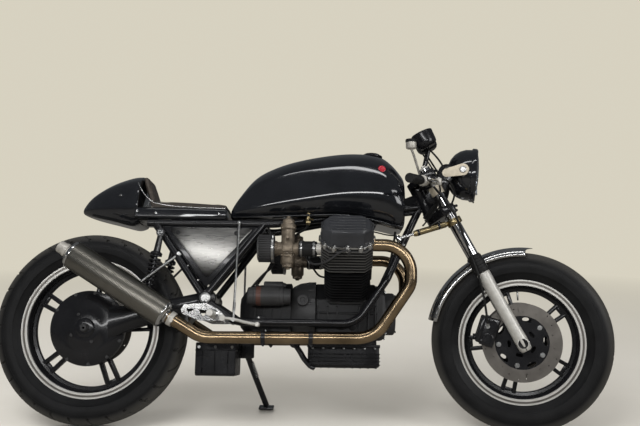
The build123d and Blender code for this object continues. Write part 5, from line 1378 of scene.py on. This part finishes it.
amberOf = lathe((1276, -98.4, 906), (0, -1, 0), [(-2, 10), (0, 10), (2, 8), (3, 0)], 28)
piece("sideReflectors", mirrored(amberOf), "amber", "steering")
print("bars and dials are fitted")


# Frame tubes, panels, rearsets and small parts
rails = bentPipe([(196, -95, 703), (640, -95, 703), (800, -58, 729), (1150, -26, 783)], [140, 140], 13)
piece("topRails", mirrored(rails), "satinBlack", "frame", ["top_rails"], angle=60)
plugsOf = [lathe((196, -95, 703), (-1, 0, 0), [(-2, 13), (1, 12), (2, 9), (2, 0)], 24)]
piece("railEnds", mirrored(plugsOf), "softRubber", "frame")
legs = [rod((224, -95, 703), (399, -120, 454), 12.5), rod((606, -95, 703), (419, -120, 456), 12.5),
    lathe((413, 0, 440), (0, 1, 0), [(-134, 9), (-134, 22), (-132, 25), (-108, 25), (-106, 23), (-106, 9)],
        40), hull([(224, 703, 16), (240, 680, 14)], -98, -92, 1),
    hull([(606, 703, 16), (592, 680, 14)], -98, -92, 1)]
piece("panelTubes", mirrored(legs), "satinBlack", "frame", ["v_tubes"])
pivotCap = [lathe((413, -134, 440), (0, -1, 0), [(0, 19), (1.5, 19), (2.5, 17), (2.5, 0)], 32),
    boltHead((413, -136, 440), (0, -1, 0), 10, 7)]
piece("pivotNuts", mirrored(pivotCap), "zinc", "frame")
cradle = bentPipe([(420, -120, 428), (524, -134, 360), (930, -134, 360), (1034, -134, 512), (1116, -44, 690),
        (1150, -24, 760)], [60, 90, 60, 60], 13)
piece("cradleRails", mirrored(cradle), "satinBlack", "frame", ["cradle_rails"], angle=60)
neck = [lathe(onFork(0, 0), forkUp, [(536.6, 17), (536.6, 28), (540, 29), (556, 29), (560, 26.6), (628, 26.6),
            (632, 29), (648, 29), (651.4, 28), (651.4, 17)], 48),
    *[plate([(1062, 752), (1172, 764), (1146, 832), (1082, 806)], y, y + 4, 8, 1) for y in (-19, 15)],
    rod((1108, -19, 786), (1108, 19, 786), 14, soften=1)]
piece("frameNeck", neck, "satinBlack", "frame", ["frame_head"])


def panelFinish(name, centre, near, far):
    # Brushed sheet, bright in the middle and darker toward its edges
    made = finishOf(name, (0.42, 0.41, 0.39), 0.3, metal=1.0, tone=0.14, patch=26, bump=0.12,
        stretch=(1.0, 1.0, 9.0))
    tree = made.node_tree
    shader = tree.nodes["Principled BSDF"]
    sheet = shader.inputs["Base Color"].links[0].from_socket
    where = added(tree, "TexCoord").outputs["Object"]
    middle = upright @ Vector(centre)
    reach = added(tree, "VectorMath", {0: where, 1: middle}, operation="DISTANCE").outputs["Value"]
    edgeFade = added(tree, "MapRange", {"Value": reach, "From Min": near, "From Max": far},
        interpolation_type="SMOOTHSTEP").outputs["Result"]
    feed(shader, {"Base Color": blended(tree, edgeFade, sheet, (0.008, 0.008, 0.009))})
    return made


panels = {"edge": [(248, 690), (588, 690), (411, 477)], "face": [(272, 686), (572, 686), (412, 508)]}
piece("panelEdges", mirrored(plate(panels["edge"], -106.8, -104.2, 12, 0.8)), "satinBlack", "frame",
    ["side_panels"])
for side in (-1, 1):
    name = "panelRight" if side < 0 else "panelLeft"
    finishes[name] = (panelFinish(name, (424, side * 110, 668), 0.07, 0.165), "steel")
    sheetForm = plate(panels["face"], side * 106.8, side * 110, 16, 1.2)
    piece(name, sheetForm, name, "frame")
darkBolts = [boltHead((x, -109.6, 668), (0, -1, 0), 6, 5) for x in (306, 510)]
piece("panelBolts", mirrored(darkBolts), "castBlack", "frame")
brightBolts = [screwHead((x, -106.6, z), (0, -1, 0), 3, 3) for x,
    z in ((268, 652), (303, 606), (345, 552), (383, 503), (556, 640), (520, 596), (470, 538))]
piece("panelScrews", mirrored(brightBolts), "zinc", "frame")

lattice = holed([[(335, 398), (345, 416), (420, 422), (462, 400), (484, 382), (484, 364), (448, 362),
            (400, 362), (340, 385)], [(352, 402), (384, 402), (362, 389)],
        [(394, 400), (428, 396), (412, 374)]], -150, -144)
post = rod((413, -144, 412), (413, -134.5, 424), 8)
hubOf = [lathe((446, -144, 385), (0, -1, 0), [(0, 17), (8, 17), (9, 15), (9, 0)], 32),
         lathe((478, -150, 372), (0, -1, 0), [(0, 12), (4, 12), (5, 10), (5, 0)], 28)]
for x, z in ((346, 392), (420, 412), (470, 370)):
    hubOf.append(screwHead((x, -150, z), (0, -1, 0), 4.6, 3.4))
piece("rearsets", mirrored(([lattice, post] + hubOf)), "polished", "frame", ["rearsets"], soften=0.8)
pegProfile = [(0, 9), (6, 9), (7, 12)]
for k in range(9):
    pegProfile += [(8 + k * 8, 12), (13 + k * 8, 12), (13.6 + k * 8, 10.8), (15.4 + k * 8, 10.8)]
pegProfile += [(82, 12), (86, 12), (88, 10), (88, 0)]
piece("footPegs", mirrored(lathe((446, -150, 385), (0, -1, 0), pegProfile, 24)), "forkAlloy", "frame")
pedal = [lathe((478, -150.5, 372), (0, -1, 0), [(4, 9), (4, 10), (16, 10), (16, 0)], 24),
    pipe([(478, -161, 372), (520, -166, 368), (560, -176, 356), (600, -184, 350)], 5.4, 4),
    lathe((600, -178, 350), (0, -1, 0), [(0, 0), (0, 6), (2, 8), (10, 8), (11, 7), (13, 7), (14, 8), (22, 8),
            (23, 7), (25, 7), (26, 8), (34, 8), (36, 6), (36, 0)], 24)]
piece("footLevers", mirrored(pedal), "forkAlloy", "frame", ["foot_levers"])
stay = [rod((521, -124, 703), (516, -166, 368), 3.8, steps=16),
    rod((521, -108, 703), (521, -130, 703), 5.4, steps=16, soften=1),
    lathe((516, -166, 366), (0, -1, 0), [(-6, 0), (-6, 6.6), (5, 6.6), (5, 0)], 20),
    rod((520.6, -126, 690), (519.6, -130, 660), 5, steps=6),
    rod((516.6, -162.6, 396), (517.4, -158, 424), 5, steps=6)]
piece("sideStays", mirrored(stay), "zinc", "frame", ["side_stays"])
print("frame and panels are in place")


def coil(start, end, radius, wire, turns):
    # A wire spring between two points
    start, end = Vector(start), Vector(end)
    way = (end - start).normalized()
    out = way.orthogonal().normalized()
    form = bmesh.new()
    steps = int(turns * 24)
    bmesh.ops.create_circle(form, segments=10, radius=wire, matrix=Matrix.Translation(start + out * radius)
                            @ way.cross(out).to_track_quat("Z", "Y").to_matrix().to_4x4())
    bmesh.ops.spin(form, geom=form.verts[:] + form.edges[:], cent=start, axis=way, angle=math.tau * turns,
        steps=steps, dvec=(end - start) / steps)
    return form


shock = {"top": (250, -124, 664), "foot": (206, -124, 411), "wire": 3.4, "turns": 9}
top, foot = Vector(shock["top"]), Vector(shock["foot"])
shockWay = (top - foot).normalized()
span = (top - foot).length
piece("shockSprings",
    mirrored(coil(foot + shockWay * 50, foot + shockWay * (span - 78), 17.4, shock["wire"], shock["turns"])),
    "satinBlack", "frame", ["shocks"], angle=60)
bodies = [lathe(foot, shockWay, [(12, 9), (40, 10), (44, 19), (46, 21), (50, 21), (51, 12), (118, 12),
            (119, 7), (span - 80, 7), (span - 78, 20), (span - 74, 21), (span - 70, 19), (span - 66, 12),
            (span - 12, 10)], 32),
    *[lathe(end, (0, 1, 0), [(-12, 7), (-12, 14), (-10, 15), (10, 15), (12, 14), (12, 7), (reach, 7),
                (reach, 0)], 28) for end, reach in ((top, 29), (foot, 20))]]
piece("shockBodies", mirrored(bodies), "satinBlack", "frame")
shockNuts = [boltHead(end + Vector((0, -12, 0)), (0, -1, 0), 7, 6) for end in (top, foot)]
piece("shockNuts", mirrored(shockNuts), "chrome", "frame")

bracket = [plate([(508, 238), (566, 238), (566, 300), (590, 334), (524, 334), (508, 300)], 86, 91.6, 6, 1),
    plate([(512, 292), (564, 292), (580, 330), (528, 330)], 72, 86, 4, 1),
    rod((535, 85, 262), (535, 119, 262), 8)]
piece("standBracket", bracket, "satinBlack", "frame", ["stand_bracket"])
piece("standBolt", boltHead((535, 118, 262), (0, 1, 0), 8, 2), "zinc", "frame")
lean = math.radians(11.9)
footAt = Vector((604, 243, 243 * math.tan(lean)))
stand = [lathe((535, 0, 262), (0, 1, 0), [(92.6, 9), (92.6, 17), (94, 19), (114, 19), (116, 17), (116, 9)],
        32),
    pipe([(538, 108, 252), (545, 116, 236), tuple(Vector((540, 110, 248)).lerp(footAt, 0.3)),
          tuple(footAt + Vector((0, 0, 12)))], 10.6, 4)]
pad = block((576, -21, 0), (632, 21, 9), 3)
leanOf = Matrix.Translation((0, footAt.y, footAt.z)) @ Matrix.Rotation(lean, 4, "X")
stand.append(copied(pad, leanOf))
pad.free()
piece("sideStand", stand, "satinBlack", "side_stand", ["side_stand"])
piece("standSpring", coil((556, 122, 226), (574, 150, 172), 5, 1.3, 10), "zinc", "side_stand")

swivel = onFork(474, 55, -95)
parked = Vector((-165, -108, 0))
parked.rotate(Matrix.Rotation(-math.radians(setUp["barsTurned"]), 3, "Z"))
eye = onFork(512, parked.x, parked.y)
damperWay = (eye - swivel).normalized()
barrel = [lathe(onFork(0, 55, -95), forkUp, [(463, 20), (463, 25.6), (465, 27), (483, 27), (485, 25.6),
            (485, 20)], 40),
    lathe(swivel, damperWay, [(24, 8), (28, 9), (34, 11), (140, 11), (144, 10.4), (149, 9), (149, 6.4)], 32)]
piece("damperBarrel", barrel, "brass", "damper_barrel", ["damper_barrel"])
piece("damperBand", [band(swivel, damperWay, near, near + 8, 11, 11.6, 32) for near in (52, 128)],
    "satinBlack", "damper_barrel")
rodForms = [rod(eye - damperWay * 126, eye - damperWay * 5, 5),
            lathe(eye, forkUp, [(-11, 3), (-11, 8), (-9, 9), (9, 9), (11, 8), (11, 3)], 24)]
piece("damperRod", rodForms, "chrome", "damper_rod", ["damper_rod"])
tabAt = onFork(512 - 28, -165, -108)
piece("damperTab", [rod(tabAt - forkUp * 3, tabAt + forkUp * 3, 12, soften=0.8),
        pipe([tuple(tabAt), tuple(tabAt.lerp(Vector((1087, -80, 628)), 0.5)), (1087, -80, 628)], 5.6, 3),
        rod(tabAt, tabAt + forkUp * 4, 6, steps=6)], "zinc", "frame", ["damper_tab"])

tap = [lathe((760, -106, 0), (0, 0, 1), [(700, 0), (700, 6), (703, 7.4), (714, 8), (716, 9), (726, 9),
            (728, 6), (736, 6), (738, 9), (742, 9)], 28),
    rod((760, -106, 708), (760, -124, 708), 5, steps=16, soften=1),
    block((752, -127, 704), (768, -121, 712), 1.4), rod((762, -116, 722), (778, -124, 716), 3, steps=12)]
piece("fuelTap", tap, "brass", "frame", ["fuel_tap"])
piece("fuelHose", pipe([(760, -106, 702), (756, -120, 684), (728, -160, 664), (706, -178, 640)], 4, 3),
    "softRubber", "frame")
box = [cased([(380, 82, 180, 290, 8, 4), (384, 84, 178, 291, 8, 4), (513, 84, 178, 291, 8, 4),
            (518, 82, 180, 290, 8, 4)]), block((379, -84, 262), (519, 84, 268), 1.4)]
for x in (404, 448, 492):
    box.append(block((x - 4, -84, 182), (x + 4, 84, 262), 1.4))
piece("batteryBox", box, "wheelBlack", "frame", ["battery_tray"], soften=1)
piece("boxBolts", [boltHead((x, side * 83.6, 276), (0, side, 0), 4, 3) for x in (392, 448, 506)
        for side in (-1, 1)], "zinc", "frame")
wires = []
for radius, route in (
    (4.4, [(560, -96, 470), (600, -100, 520), (650, -110, 560), (640, -96, 640), (620, -92, 690)]),
    (4, [(1000, -60, 470), (1040, -70, 540), (1060, -56, 620), (1070, -40, 690)]),
    (4, [(540, 92, 470), (600, 100, 540), (640, 90, 640), (620, 84, 690)]),
):
    wires.append(pipe(route, radius, 3))
piece("wiring", wires, "softRubber", "frame")
tang = [pipe([(712, -96, 296), (734, -100, 270), (752, -104, 236), (776, -108, 213)], 7, 3),
    lathe((718, -84, 290), (0, -1, 0), [(0, 14), (10, 14), (11, 12), (11, 0)], 24),
    rod((776, -108, 215), (790, -108, 209), 8, steps=16, soften=1)]
piece("sumpTang", mirrored(tang), "satinBlack", "frame")
print("small parts are fitted")

# Finishes of the CAD nodes that keep showing
finishOfSlot = {
    "tyre_rubber": "tyreRubber", "gloss_black": "glossBlack", "satin_black": "satinBlack",
    "cast_black": "castBlack",
    "engine_dark": "caseGrey", "alloy": "oldAlloy", "polished": "forkAlloy", "steel": "discSteel",
    "bronze_pipe": "bronzePipe", "can_metal": "canMetal", "seat_black": "leather", "rubber": "softRubber",
    "lens": "glass", "filter_cloth": "filterCloth", "chrome": "chrome",
}
for part in frame["record"]["subparts"]:
    for holder in frame["nodes"][part["node"]].material_slots:
        holder.material = finishes[finishOfSlot.get(part["material_slot"], "glossBlack")][0]
print("carried-over nodes have their finishes")

low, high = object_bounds()
